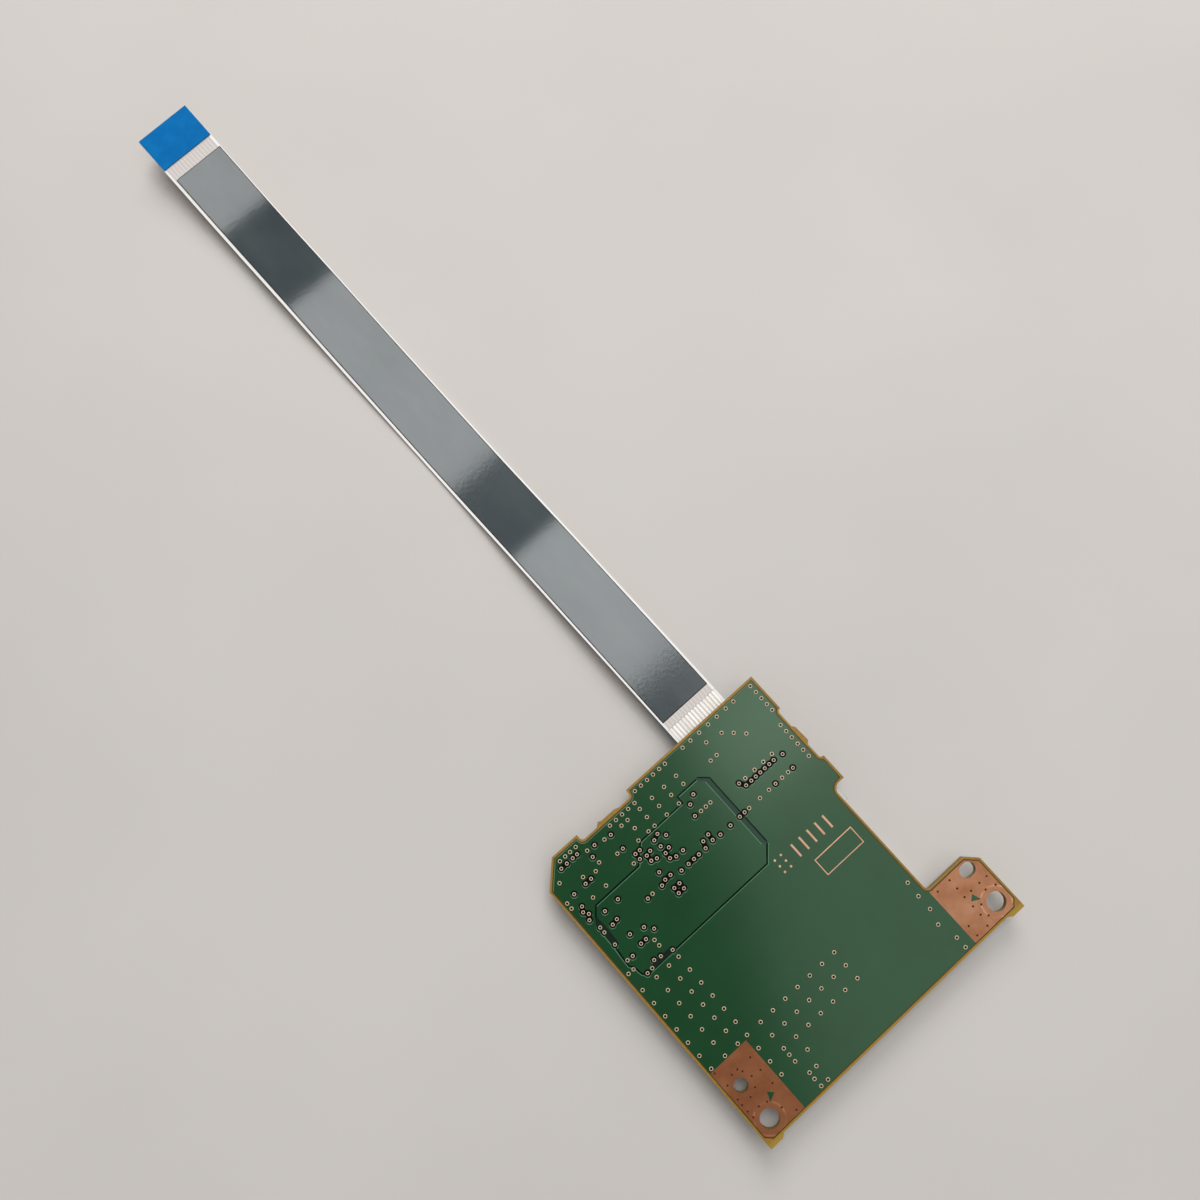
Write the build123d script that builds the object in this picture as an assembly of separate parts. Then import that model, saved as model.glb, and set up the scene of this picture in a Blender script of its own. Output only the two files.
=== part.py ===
from build123d import *
from math import radians, tan
import os

# Memory card reader board for a portable computer, component side down, with its flat ribbon cable.
# Millimetres. X runs along the card edge of the board, Y from that edge towards the ribbon, Z up.
# Sizes are given from the board's lower left corner and from the surface that the board stands on.
# The whole model is shifted at the end, so that its origin is below the middle of the board.

# ---- circuit board -------------------------------------------------------------------------------
board_width = 35.95
board_length = 41.65
board_thickness = 1.0
board_margin = 0.4             # bare laminate left round the solder mask
mask_thickness = 0.03
corner_cut = 2.95              # 45 degree cut of the upper left corner
tab_reach = 41.55              # right edge of the screw tab
tab_top = 8.65
tab_cut = 1.5
foot_depth = 0.42              # short feet under both lower corners
foot_length = 1.85
foot_slope = 0.6
side_recess_depth = 1.85
side_recess_top = 25.05
side_recess_upper_radius = 1.0
side_recess_lower_radius = 0.55

# routed break-off slots, each with the stub that was left when the board was snapped out
slot_corner_radius = 0.5
top_slot_left = 6.95
top_slot_width = 8.1
top_slot_depth = 1.0
top_stub_offset = 2.4
top_stub_length = 3.8
top_stub_height = 0.25
top_stub_spike = 0.45
side_slot_bottom = 28.6
side_slot_length = 7.8
side_slot_depth = 0.5
side_stub_offset = 2.3
side_stub_length = 3.0
side_stub_height = 0.38

# ---- fixing holes and bare copper lands ----------------------------------------------------------
screw_hole_diameter = 2.4
screw_hole_x = 2.2
screw_hole_y = 2.2
screw_hole_tab_inset = 2.15    # from the tab's end to the right hole
locating_hole_diameter = 1.75
locating_slot_length = 2.1
locating_hole_rise = 4.95      # from the screw hole to the locating hole above it
land_ring_width = 0.5          # copper ring round each hole on the under side
mask_opening_gap = 0.1         # the mask stands back from that ring by this much
arrow_distance = 1.84
arrow_length = 1.15
arrow_width = 0.9
land_thickness = 0.03
left_land_width = 5.7
left_land_height = 10.1
right_land_width = 7.0
land_corner_cut = 0.7          # bare laminate across the board's two outer corners

# ---- card socket on the under side ---------------------------------------------------------------
card_width = 24.0
card_thickness = 2.1
card_side_gap = 0.2
card_face_gap = 0.1
socket_floor = 0.3             # moulded floor between the card and the board
socket_rail = 1.4
socket_rear_block = 2.6
socket_depth = 25.2
socket_inset = 0.2             # the mouth stands back from the board's edge
socket_lead_in = 0.6           # flare of the mouth at both sides
socket_floor_lead_in = 0.2
shell_gauge = 0.2
shell_inner_bend = 0.1
shell_board_gap = 0.1
shell_tab_width = 1.8
shell_tab_reach = 0.8
shell_spring_width = 2.2
shell_spring_length = 9.0
shell_spring_slit = 0.5
shell_spring_spacing = 12.5
shell_spring_root = 1.0        # from the end of the card space to a tongue's root
shell_spring_press = 0.25       # how far a tongue's tip is bent in
shell_lug_width = 2.0
shell_lug_inset = 0.4
shell_window_length = 2.4
shell_window_height = 0.9
latch_height = 0.6
latch_length = 1.8
latch_end_inset = 7.0          # from the socket's ends to the middle of each latch

card_contact_count = 9
card_contact_pitch = 2.5
card_contact_width = 0.7
card_contact_gauge = 0.15
card_contact_lift = 0.75       # how far the free spring stands into the card space
card_contact_spring = 6.4
card_contact_tip = 1.1
card_contact_tail = 0.8
card_contact_slot_gap = 0.1

switch_leaf_gauge = 0.15
switch_leaf_height = 1.1
switch_leaf_length = 5.2
switch_leaf_reach = 0.45       # how far a leaf stands into the card space
switch_tail_width = 1.0
switch_pocket_depth = 0.75
switch_pocket_gap = 0.25
switch_spacing = 7.2
switch_end_gap = 1.2           # from the end of the card space to the last leaf

# ---- ribbon cable --------------------------------------------------------------------------------
ribbon_width = 8.0
ribbon_centre_x = 27.75
ribbon_film = 0.08
conductor_thickness = 0.04
conductor_width = 0.3
conductor_pitch = 0.5
conductor_count = 15
bare_length_board = 4.85       # conductors bared on the upper face, at the board
bare_length_far = 4.4          # conductors bared on the lower face, at the free end
stiffener_thickness = 0.18
board_stiffener_length = 7.0
far_stiffener_length = 4.9
tape_width = 7.4
tape_thickness = 0.08
tape_start = 5.9               # from the tip in the connector
tape_stop = 6.75               # from the free tip
# the middle of the ribbon, as distance from the tip in the connector and rise from it
ribbon_route = [
    (0.0, 0.0),
    (13.75, 0.0),
    (23.0, -0.5),
    (32.0, -0.7),
    (40.0, -1.55),
    (49.0, -2.2),
    (60.0, -1.95),
    (71.0, -1.65),
    (81.0, -0.7),
    (90.0, -0.85),
    (98.0, -0.05),
    (110.0, 1.7),
]

# ---- ribbon connector, back-flip lock ------------------------------------------------------------
connector_height = 1.0
connector_depth = 4.0
connector_inset = 0.5          # the mouth stands back from the board's edge
connector_side = 1.5
connector_ear = 0.9
connector_lead_in = 0.15
connector_insertion = 2.4
connector_fit_gap = 0.05
connector_plane = 0.4          # middle of the conductors, measured from the board
contact_thickness = 0.2
contact_beam = 0.18
contact_slot_gap = 0.04
contact_tail = 0.7
contact_hook = 0.4             # how far the outer beam reaches behind the lock's axis
contact_hook_drop = 0.08
contact_nose_gap = 0.01
contact_reach = 1.6            # of the beams past the ribbon's tip
contact_web = 0.4
contact_web_gap = 0.1          # from the web to the ribbon's tip
contact_skin = 0.08            # housing wall outside the outer beam
lock_axis_depth = 0.35         # from the housing's rear face to the lock's axis
lock_bar_radius = 0.2
lock_length = 1.35
lock_inner_face = 0.12
lock_outer_face = 0.3
lock_lip = 0.15
lock_window_length = 0.62
lock_tooth_width = 0.2
lock_side_gap = 0.06
lock_pin_radius = 0.18
lock_pin_length = 0.45
lock_pin_gap = 0.04
lock_swing_gap = 0.06
nail_gauge = 0.2
nail_length = 1.6
nail_height = 0.7
nail_foot = 0.6

# ---- chips and small parts -----------------------------------------------------------------------
controller_size = 4.0
controller_height = 0.75
controller_x = 12.0
controller_terminals_per_side = 6
controller_terminal_pitch = 0.5
controller_terminal_width = 0.25
controller_terminal_length = 0.4
controller_terminal_thickness = 0.2
controller_pad = 2.5
controller_standoff = 0.03
tail_clearance = 0.45          # from the card contacts' tails to the parts behind them
pin_one_dimple = 0.35

switch_body_length = 2.9
switch_body_width = 1.6
switch_body_height = 1.1
switch_body_inset = 5.05       # from the board's upper edge
suppressor_length = 2.9
suppressor_width = 1.5
suppressor_x = 27.5
lead_pitch = 0.95              # of three leads in a row; a pair of leads takes the outer two places
lead_width = 0.4
lead_gauge = 0.15
lead_bend = 0.12
lead_reach = 0.6
lead_foot = 0.35
lead_standoff = 0.05
package_draft = 8

small_chip = (1.0, 0.5, 0.5)   # length, width and height
large_chip = (1.6, 0.8, 0.8)
resistor_height = 0.35
chip_end = 0.25
chip_end_skin = 0.02           # plating thickness round the ends
chip_pitch = 1.1
large_chip_pitch = 1.65
chip_gap = 0.7
row_gap = 3.3                  # from the power switch to the row behind it

filter_length = 2.0
filter_width = 1.2
filter_height = 0.9
filter_x = 20.6

# ---- worked out ----------------------------------------------------------------------------------
screw_hole_spacing = tab_reach - screw_hole_tab_inset - screw_hole_x
slot_height = card_thickness + 2 * card_face_gap
slot_width = card_width + 2 * card_side_gap
socket_height = socket_floor + slot_height + shell_gauge
mount_face = socket_height                           # under side of the board
laminate_bottom = mount_face + mask_thickness
laminate_top = laminate_bottom + board_thickness
land_left_edge = board_margin + left_land_width
land_right_edge = tab_reach - board_margin - right_land_width
socket_x = (land_left_edge + land_right_edge) / 2
socket_front = socket_inset
socket_back = socket_front + socket_depth
slot_end = socket_back - socket_rear_block
slot_left = socket_x - slot_width / 2
slot_right = socket_x + slot_width / 2
slot_middle = shell_gauge + slot_height / 2          # height of the card's middle
base_width = slot_width + 2 * socket_rail
shell_width = base_width + 2 * shell_gauge
connector_mouth = board_length - connector_inset
connector_rear = connector_mouth - connector_depth
connector_width = ribbon_width + 2 * connector_side
ribbon_thickness = 2 * ribbon_film + conductor_thickness
ribbon_z = mount_face - connector_plane
ribbon_tip_y = connector_mouth - connector_insertion
outer_beam_depth = connector_height - contact_skin - contact_beam
lock_axis_y = connector_rear + lock_axis_depth
lock_axis_z = mount_face - (contact_beam + outer_beam_depth) / 2
lock_width = connector_width - 2 * connector_ear - 2 * lock_side_gap
lock_rear = lock_axis_y - lock_length
bay_front = lock_axis_y + lock_outer_face + lock_swing_gap
nail_start = (bay_front + connector_mouth - nail_length) / 2
nail_end = nail_start + nail_length
controller_y = socket_back + card_contact_tail + tail_clearance + controller_size / 2
# two columns of large chips, to the left of the controller's capacitors, and the power switch beyond
large_column_right = controller_x - controller_size / 2 - 2 * chip_gap - small_chip[0] - large_chip[1] / 2
large_column_left = large_column_right - large_chip_pitch
switch_body_x = large_column_left - large_chip[1] / 2 - chip_gap - switch_body_length / 2
switch_body_y = board_length - switch_body_inset
suppressor_y = socket_back + card_contact_tail + tail_clearance + suppressor_width / 2 + lead_reach


def block(x0, x1, y0, y1, z0, z1):
    centre = Pos((x0 + x1) / 2, (y0 + y1) / 2, (z0 + z1) / 2)
    return centre * Box(abs(x1 - x0), abs(y1 - y0), abs(z1 - z0))


def panel(x0, x1, y0, y1):
    return Pos((x0 + x1) / 2, (y0 + y1) / 2) * Rectangle(x1 - x0, y1 - y0)


def polygon(*points):
    return make_face(Polyline(*points, close=True))


def side_profile(x0, x1, points):
    # a section drawn in Y and Z, pulled along X
    face = make_face(Polyline(*[(x0, y, z) for y, z in points], close=True))
    return extrude(face, amount=x1 - x0, dir=(1, 0, 0))


def near(shape, x, y):
    return shape.vertices().sort_by_distance((x, y, 0))[0]


# ---- circuit board -------------------------------------------------------------------------------
def plain_outline():
    outline = panel(0, board_width, 0, board_length) + panel(0, tab_reach, 0, tab_top)
    recess_x = board_width - side_recess_depth
    outline -= panel(recess_x, board_width + 1, tab_top, side_recess_top)
    outline = fillet([near(outline, recess_x, side_recess_top)], side_recess_upper_radius)
    outline = fillet([near(outline, recess_x, tab_top)], side_recess_lower_radius)
    outline = chamfer([near(outline, 0, board_length)], corner_cut)
    outline = chamfer([near(outline, tab_reach, tab_top)], tab_cut)
    top_slot = Pos(top_slot_left + top_slot_width / 2, board_length) * RectangleRounded(
        top_slot_width, 2 * top_slot_depth, slot_corner_radius
    )
    side_slot = Pos(board_width, side_slot_bottom + side_slot_length / 2) * RectangleRounded(
        2 * side_slot_depth, side_slot_length, 0.9 * side_slot_depth
    )
    return outline - top_slot - side_slot


def corner_foot(x, side):
    return polygon(
        (x, foot_depth),
        (x, -foot_depth),
        (x + side * foot_length, -foot_depth),
        (x + side * (foot_length + foot_slope), 0),
        (x + side * (foot_length + foot_slope), foot_depth),
    )


def break_off_stubs():
    y = board_length - top_slot_depth
    x = top_slot_left + top_stub_offset
    top_stub = polygon(
        (x, y - board_margin / 2),
        (x, y),
        (x + 0.15 * top_stub_length, y + top_stub_spike),
        (x + 0.25 * top_stub_length, y + top_stub_height),
        (x + 0.8 * top_stub_length, y + top_stub_height),
        (x + top_stub_length, y),
        (x + top_stub_length, y - board_margin / 2),
    )
    x = board_width - side_slot_depth
    y = side_slot_bottom + side_stub_offset
    side_stub = polygon(
        (x - board_margin / 2, y),
        (x, y),
        (x + side_stub_height, y + 0.13 * side_stub_length),
        (x + 0.8 * side_stub_height, y + 0.85 * side_stub_length),
        (x, y + side_stub_length),
        (x - board_margin / 2, y + side_stub_length),
    )
    return top_stub + side_stub


def hole_places():
    right = tab_reach - screw_hole_tab_inset
    upper = screw_hole_y + locating_hole_rise
    return (screw_hole_x, screw_hole_y), (right, screw_hole_y), (screw_hole_x, upper), (right, upper)


def fixing_holes(gap):
    left_screw, right_screw, left_peg, right_peg = hole_places()
    holes = Pos(*left_screw) * Circle(screw_hole_diameter / 2 + gap)
    holes += Pos(*right_screw) * Circle(screw_hole_diameter / 2 + gap)
    holes += Pos(*left_peg) * Circle(locating_hole_diameter / 2 + gap)
    slot = SlotOverall(locating_slot_length + 2 * gap, locating_hole_diameter + 2 * gap)
    holes += Pos(*right_peg) * slot
    return holes


def circuit_board():
    outline = plain_outline() + corner_foot(0, 1) + corner_foot(tab_reach, -1) + break_off_stubs()
    return Pos(0, 0, laminate_bottom) * extrude(outline - fixing_holes(0), amount=board_thickness)


def land_arrow(hole, angle):
    # a small mark in each bare land that points at its screw hole
    arrow = polygon(
        (arrow_distance, 0),
        (arrow_distance + arrow_length, arrow_width / 2),
        (arrow_distance + arrow_length, -arrow_width / 2),
    )
    return Pos(*hole) * Rot(0, 0, angle) * arrow


def land_corner(x, side):
    # what the lands and the mask leave free in a lower corner of the board
    reach = 2 * board_margin + land_corner_cut
    return polygon((x, 0), (x + side * reach, 0), (x, reach))


def land_areas():
    inside = offset(plain_outline(), -board_margin, kind=Kind.INTERSECTION)
    inside -= land_corner(0, 1) + land_corner(tab_reach, -1)
    left = panel(0, land_left_edge, 0, board_margin + left_land_height)
    right = panel(land_right_edge, tab_reach, 0, tab_top)
    left_screw, right_screw = hole_places()[:2]
    arrows = land_arrow(left_screw, 45) + land_arrow(right_screw, 130)
    return inside, (left + right) & inside, arrows


def solder_mask():
    inside, lands, arrows = land_areas()
    film = inside - lands + arrows
    upper = Pos(0, 0, laminate_top) * extrude(film, amount=mask_thickness)
    lower_film = inside - fixing_holes(land_ring_width + mask_opening_gap)
    lower = Pos(0, 0, mount_face) * extrude(lower_film, amount=mask_thickness)
    return Compound(upper.solids() + lower.solids())


def ground_lands():
    # two large lands on the upper side, and a ring round each hole on the under side
    inside, lands, arrows = land_areas()
    upper = Pos(0, 0, laminate_top) * extrude(lands - arrows - fixing_holes(0), amount=land_thickness)
    rings = (fixing_holes(land_ring_width) & inside) - fixing_holes(0)
    lower = Pos(0, 0, laminate_bottom - land_thickness) * extrude(rings, amount=land_thickness)
    return Compound(upper.solids() + lower.solids())


# ---- card socket ---------------------------------------------------------------------------------
def card_contact_places():
    first = socket_x - (card_contact_count - 1) / 2 * card_contact_pitch
    return [first + i * card_contact_pitch for i in range(card_contact_count)]


def latch_places():
    return socket_front + latch_end_inset, socket_back - latch_end_inset


def switch_places():
    last = slot_end - switch_end_gap - switch_leaf_length
    return last - switch_spacing, last


def card_socket_base():
    left, right = socket_x - base_width / 2, socket_x + base_width / 2
    floor_face = mount_face - socket_floor
    base = block(left, right, socket_front, socket_back, shell_gauge, mount_face)
    base = fillet(base.edges().filter_by(Axis.Y).group_by(Axis.Z)[0], shell_inner_bend)
    base -= block(slot_left, slot_right, socket_front - 1, slot_end, 0, floor_face)
    # the flared mouth
    flare = polygon(
        (slot_left - socket_lead_in, socket_front),
        (slot_left, socket_front + 2 * socket_lead_in),
        (slot_right, socket_front + 2 * socket_lead_in),
        (slot_right + socket_lead_in, socket_front),
    )
    base -= Pos(0, 0, shell_gauge) * extrude(flare, amount=floor_face - shell_gauge)
    base -= side_profile(
        slot_left,
        slot_right,
        [
            (socket_front, floor_face - 0.1),
            (socket_front, floor_face + socket_floor_lead_in),
            (socket_front + 2 * socket_floor_lead_in, floor_face),
            (socket_front + 2 * socket_floor_lead_in, floor_face - 0.1),
        ],
    )
    # a window for each spring and a groove for each contact's root
    half = card_contact_width / 2 + card_contact_slot_gap
    window_start = slot_end - card_contact_spring - card_contact_tip - 2 * socket_floor
    groove_floor = mount_face - card_contact_gauge
    for x in card_contact_places():
        base -= block(x - half, x + half, window_start, slot_end, floor_face - 0.1, mount_face + 1)
        base -= block(x - half, x + half, slot_end - 0.1, socket_back + 1, groove_floor, mount_face + 1)
    # pockets for the card switches, open to the card and to the board
    for y in switch_places():
        base -= block(
            slot_left - switch_pocket_depth,
            slot_left + 0.1,
            y,
            y + switch_leaf_length + switch_pocket_gap,
            slot_middle - switch_leaf_height / 2 - switch_pocket_gap,
            mount_face + 1,
        )
    # bosses that hold the shell
    for y in latch_places():
        low_z, high_z = slot_middle - latch_height / 2, slot_middle + latch_height / 2
        for wall, reach in ((left, left - shell_gauge), (right, right + shell_gauge)):
            base += block(wall, reach, y - latch_length / 2, y + latch_length / 2, low_z, high_z)
    return base


def shell_section():
    left, right = -shell_width / 2, shell_width / 2
    top = mount_face - shell_board_gap
    outer = polygon((left, 0), (right, 0), (right, top), (left, top))
    outer = fillet(outer.vertices().sort_by(Axis.Y)[:2], shell_inner_bend + shell_gauge)
    inner = polygon(
        (left + shell_gauge, shell_gauge),
        (right - shell_gauge, shell_gauge),
        (right - shell_gauge, top + 1),
        (left + shell_gauge, top + 1),
    )
    inner = fillet(inner.vertices().sort_by(Axis.Y)[:2], shell_inner_bend)
    return outer - inner


def card_socket_shell():
    left, right = socket_x - shell_width / 2, socket_x + shell_width / 2
    plane = Plane(origin=(socket_x, socket_front, 0), x_dir=(1, 0, 0), z_dir=(0, -1, 0))
    shell = extrude(plane * shell_section(), amount=-socket_depth)
    # two tongues that press the card onto the contacts
    root = slot_end - shell_spring_root
    tip = root - shell_spring_length
    half = shell_spring_width / 2
    cut = half + shell_spring_slit
    tongue = [
        (root, 0),
        (tip, shell_spring_press),
        (tip, shell_spring_press + shell_gauge),
        (root, shell_gauge),
    ]
    for side in (-1, 1):
        x = socket_x + side * shell_spring_spacing / 2
        shell -= block(x - cut, x + cut, tip - shell_spring_slit, root, -1, shell_gauge)
        shell += side_profile(x - half, x + half, tongue)
    # windows for the base's bosses
    for y in latch_places():
        shell -= block(
            left - 1,
            right + 1,
            y - shell_window_length / 2,
            y + shell_window_length / 2,
            slot_middle - shell_window_height / 2,
            slot_middle + shell_window_height / 2,
        )
    # solder tabs at both sides, and lugs folded down behind the base
    for y in (socket_front + shell_tab_width, socket_back - shell_tab_width):
        for side in (-1, 1):
            outer = socket_x + side * shell_width / 2
            inner = outer - side * shell_gauge
            reach = outer + side * shell_tab_reach
            low, high = y - shell_tab_width / 2, y + shell_tab_width / 2
            shell += block(inner, outer, low, high, socket_height / 2, mount_face)
            shell += block(inner, reach, low, high, mount_face - shell_gauge, mount_face)
    for side in (-1, 1):
        outer = socket_x + side * (shell_width / 2 - shell_lug_inset)
        inner = outer - side * shell_lug_width
        lug_top = mount_face - shell_board_gap
        shell += block(inner, outer, socket_back, socket_back + shell_gauge, 0, lug_top)
    return shell


def bent_strip(points, bend, gauge, width):
    # sheet metal drawn from its edge, centred on its width
    return extrude(trace(FilletPolyline(*points, radius=bend), gauge), amount=width / 2, both=True)


def card_contacts():
    flat = mount_face - card_contact_gauge / 2
    peak = mount_face - socket_floor - card_contact_lift + card_contact_gauge / 2
    points = [
        (socket_back + card_contact_tail, flat),
        (slot_end - socket_floor, flat),
        (slot_end - socket_floor - card_contact_spring, peak),
        (slot_end - socket_floor - card_contact_spring - card_contact_tip, peak + card_contact_lift / 2),
    ]
    strip = bent_strip(points, 2 * card_contact_gauge, card_contact_gauge, card_contact_width)
    plane = Plane(origin=(0, 0, 0), x_dir=(0, 1, 0), z_dir=(1, 0, 0))
    return Compound([Pos(x, 0, 0) * (plane * strip).solid() for x in card_contact_places()])


def card_switch_contacts():
    seat = slot_left - switch_pocket_depth + switch_leaf_gauge / 2
    leaves = []
    for y in switch_places():
        points = [
            (seat, y),
            (seat, y + 0.25 * switch_leaf_length),
            (slot_left + switch_leaf_reach, y + 0.75 * switch_leaf_length),
            (seat + switch_leaf_reach, y + switch_leaf_length),
        ]
        leaf = Pos(0, 0, slot_middle) * bent_strip(
            points, 2 * switch_leaf_gauge, switch_leaf_gauge, switch_leaf_height
        )
        half = switch_leaf_gauge / 2
        tail_end = y + switch_tail_width
        leaf += block(seat - half, seat + half, y, tail_end, slot_middle, mount_face)
        leaves.append(leaf.solid())
    return Compound(leaves)


# ---- ribbon connector ----------------------------------------------------------------------------
def conductor_places():
    first = ribbon_centre_x - (conductor_count - 1) / 2 * conductor_pitch
    return [first + i * conductor_pitch for i in range(conductor_count)]


def ribbon_connector_housing():
    left, right = ribbon_centre_x - connector_width / 2, ribbon_centre_x + connector_width / 2
    outer_face = mount_face - connector_height
    slot_half = ribbon_width / 2 + connector_fit_gap
    slot_top = ribbon_z + conductor_thickness / 2 + connector_fit_gap
    slot_bottom = ribbon_z - conductor_thickness / 2 - ribbon_film - stiffener_thickness
    slot_low_x, slot_high_x = ribbon_centre_x - slot_half, ribbon_centre_x + slot_half
    lead_in = [
        (connector_mouth, slot_bottom),
        (connector_mouth, slot_bottom - connector_lead_in),
        (connector_mouth - 2 * connector_lead_in, slot_bottom),
    ]
    housing = block(left, right, connector_rear, connector_mouth, outer_face, mount_face)
    housing -= block(slot_low_x, slot_high_x, ribbon_tip_y, connector_mouth + 1, slot_bottom, slot_top)
    housing -= side_profile(slot_low_x, slot_high_x, lead_in)
    # the open bay behind, where the lock turns
    bay_left, bay_right = left + connector_ear, right - connector_ear
    housing -= block(bay_left, bay_right, connector_rear - 1, bay_front, 0, mount_face + 1)
    half = contact_thickness / 2 + contact_slot_gap
    groove_start = bay_front - contact_slot_gap
    groove_end = ribbon_tip_y + contact_reach + contact_slot_gap
    for x in conductor_places():
        housing -= block(
            x - half, x + half, groove_start, groove_end, outer_face + contact_skin, mount_face + 1
        )
    bore_length = lock_width + 2 * (lock_side_gap + lock_pin_length + lock_pin_gap)
    bore = Cylinder(lock_pin_radius + lock_pin_gap, bore_length)
    housing -= Pos(ribbon_centre_x, lock_axis_y, lock_axis_z) * Rot(0, 90, 0) * bore
    return housing - nail_plates()


def nail_plates():
    # set into both sides of the housing
    plates = []
    for side in (-1, 1):
        outer = ribbon_centre_x + side * connector_width / 2
        inner = outer - side * nail_gauge
        plates.append(block(inner, outer, nail_start, nail_end, mount_face - nail_height, mount_face))
    return Compound(plates)


def ribbon_connector_nails():
    nails = []
    for side, plate in zip((-1, 1), nail_plates().solids().sort_by(Axis.X)):
        outer = ribbon_centre_x + side * connector_width / 2
        reach = outer + side * nail_foot
        foot = block(outer, reach, nail_start, nail_end, mount_face - nail_gauge, mount_face)
        nails.append((plate + foot).solid())
    return Compound(nails)


def ribbon_connector_contacts():
    # an H on its side: the web joins the board side beam, which bears on the conductor, to the outer
    # beam, whose rear hook is pushed out by the lock
    board_nose = connector_plane - conductor_thickness / 2 - contact_nose_gap
    front = ribbon_tip_y + contact_reach
    web_front = ribbon_tip_y - contact_web_gap
    hook = lock_axis_y - contact_hook
    depths = [
        (connector_rear - contact_tail, 0),
        (front, 0),
        (front, contact_beam),
        (front - contact_beam, board_nose),
        (front - 2 * contact_beam, board_nose),
        (front - 3 * contact_beam, contact_beam),
        (web_front, contact_beam),
        (web_front, outer_beam_depth),
        (front, outer_beam_depth),
        (front, outer_beam_depth + contact_beam),
        (hook, outer_beam_depth + contact_beam),
        (hook, outer_beam_depth - contact_hook_drop),
        (hook + contact_hook_drop, outer_beam_depth - contact_hook_drop),
        (hook + 2 * contact_hook_drop, outer_beam_depth),
        (web_front - contact_web, outer_beam_depth),
        (web_front - contact_web, contact_beam),
        (connector_rear - contact_tail, contact_beam),
    ]
    outline = [(y, mount_face - depth) for y, depth in depths]
    contact = side_profile(-contact_thickness / 2, contact_thickness / 2, outline)
    return Compound([Pos(x, 0, 0) * contact.solid() for x in conductor_places()])


def ribbon_connector_lock():
    left, right = ribbon_centre_x - lock_width / 2, ribbon_centre_x + lock_width / 2
    low, high = lock_axis_z - lock_outer_face, lock_axis_z + lock_inner_face
    lock = side_profile(
        left,
        right,
        [
            (lock_rear, high - lock_inner_face),
            (lock_rear, low + lock_lip),
            (lock_rear + lock_lip, low),
            (lock_axis_y, low),
            (lock_axis_y, high),
            (lock_rear + lock_inner_face, high),
        ],
    )
    half = (conductor_pitch - lock_tooth_width) / 2
    window_start = lock_axis_y - lock_window_length
    for x in conductor_places():
        lock -= block(x - half, x + half, window_start, lock_axis_y + 1, low - 1, high + 1)
    turn = Pos(ribbon_centre_x, lock_axis_y, lock_axis_z) * Rot(0, 90, 0)
    lock += turn * extrude(RegularPolygon(lock_bar_radius, 8), amount=lock_width / 2, both=True)
    lock += turn * Cylinder(lock_pin_radius, lock_width + 2 * (lock_pin_length + lock_side_gap))
    return lock


# ---- ribbon cable --------------------------------------------------------------------------------
def ribbon_points():
    start = Vector(ribbon_centre_x, ribbon_tip_y, ribbon_z)
    return [start + Vector(0, along, rise) for along, rise in ribbon_route]


def ribbon_radii(points):
    radii = []
    for before, corner, after in zip(points, points[1:], points[2:]):
        incoming, outgoing = corner - before, after - corner
        half_turn = radians(incoming.get_angle(outgoing)) / 2
        radii.append(0.45 * min(incoming.length, outgoing.length) / tan(half_turn))
    return radii


def ribbon_strip(start, stop, width, thickness, rise):
    # a flat layer that follows the ribbon, from start after its tip in the connector to stop before
    # its free tip, with its middle raised by rise from the ribbon's
    points = ribbon_points()
    radii = ribbon_radii(points)
    points[0] += (points[1] - points[0]).normalized() * start
    points[-1] += (points[-2] - points[-1]).normalized() * stop
    path = FilletPolyline(*points, radius=radii)
    plane = Plane(origin=points[0], x_dir=(1, 0, 0), z_dir=(0, 1, 0))
    section = plane * Pos(0, -rise) * Rectangle(width, thickness)
    return sweep(section, path=path)


def ribbon_insulation():
    # the conductors are sealed between two films, and one film is left off at each end
    layer = (conductor_thickness + ribbon_film) / 2
    strip = ribbon_strip(bare_length_board, bare_length_far, ribbon_width, ribbon_thickness, 0)
    strip += ribbon_strip(0, bare_length_far, ribbon_width, ribbon_film, -layer)
    strip += ribbon_strip(bare_length_board, 0, ribbon_width, ribbon_film, layer)
    return strip


def end_plane(which):
    points = ribbon_points()
    if which == "board":
        return Plane(origin=points[0], x_dir=(1, 0, 0), z_dir=(points[1] - points[0]).normalized())
    return Plane(origin=points[-1], x_dir=(-1, 0, 0), z_dir=(points[-2] - points[-1]).normalized())


def ribbon_conductors():
    places = [x - ribbon_centre_x for x in conductor_places()]
    ends = []
    for which, length in (("board", bare_length_board), ("far", bare_length_far)):
        plane = end_plane(which)
        for x in places:
            section = plane * Pos(x, 0) * Rectangle(conductor_width, conductor_thickness)
            ends.append(extrude(section, amount=length, dir=plane.z_dir).solid())
    return Compound(ends)


def end_strip(which, start, length, width, thickness, rise):
    plane = end_plane(which)
    upward = 1 if plane.y_dir.Z > 0 else -1
    section = plane * Pos(0, upward * rise, start) * Rectangle(width, thickness)
    return extrude(section, amount=length, dir=plane.z_dir)


def ribbon_board_stiffener():
    rise = -(conductor_thickness / 2 + ribbon_film + stiffener_thickness / 2)
    return end_strip("board", 0, board_stiffener_length, ribbon_width, stiffener_thickness, rise)


def ribbon_far_stiffener():
    rise = conductor_thickness / 2 + ribbon_film + stiffener_thickness / 2
    return end_strip("far", 0, far_stiffener_length, ribbon_width, stiffener_thickness, rise)


def ribbon_tape():
    rise = (ribbon_thickness + tape_thickness) / 2
    return ribbon_strip(tape_start, tape_stop, tape_width, tape_thickness, rise)


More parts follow.
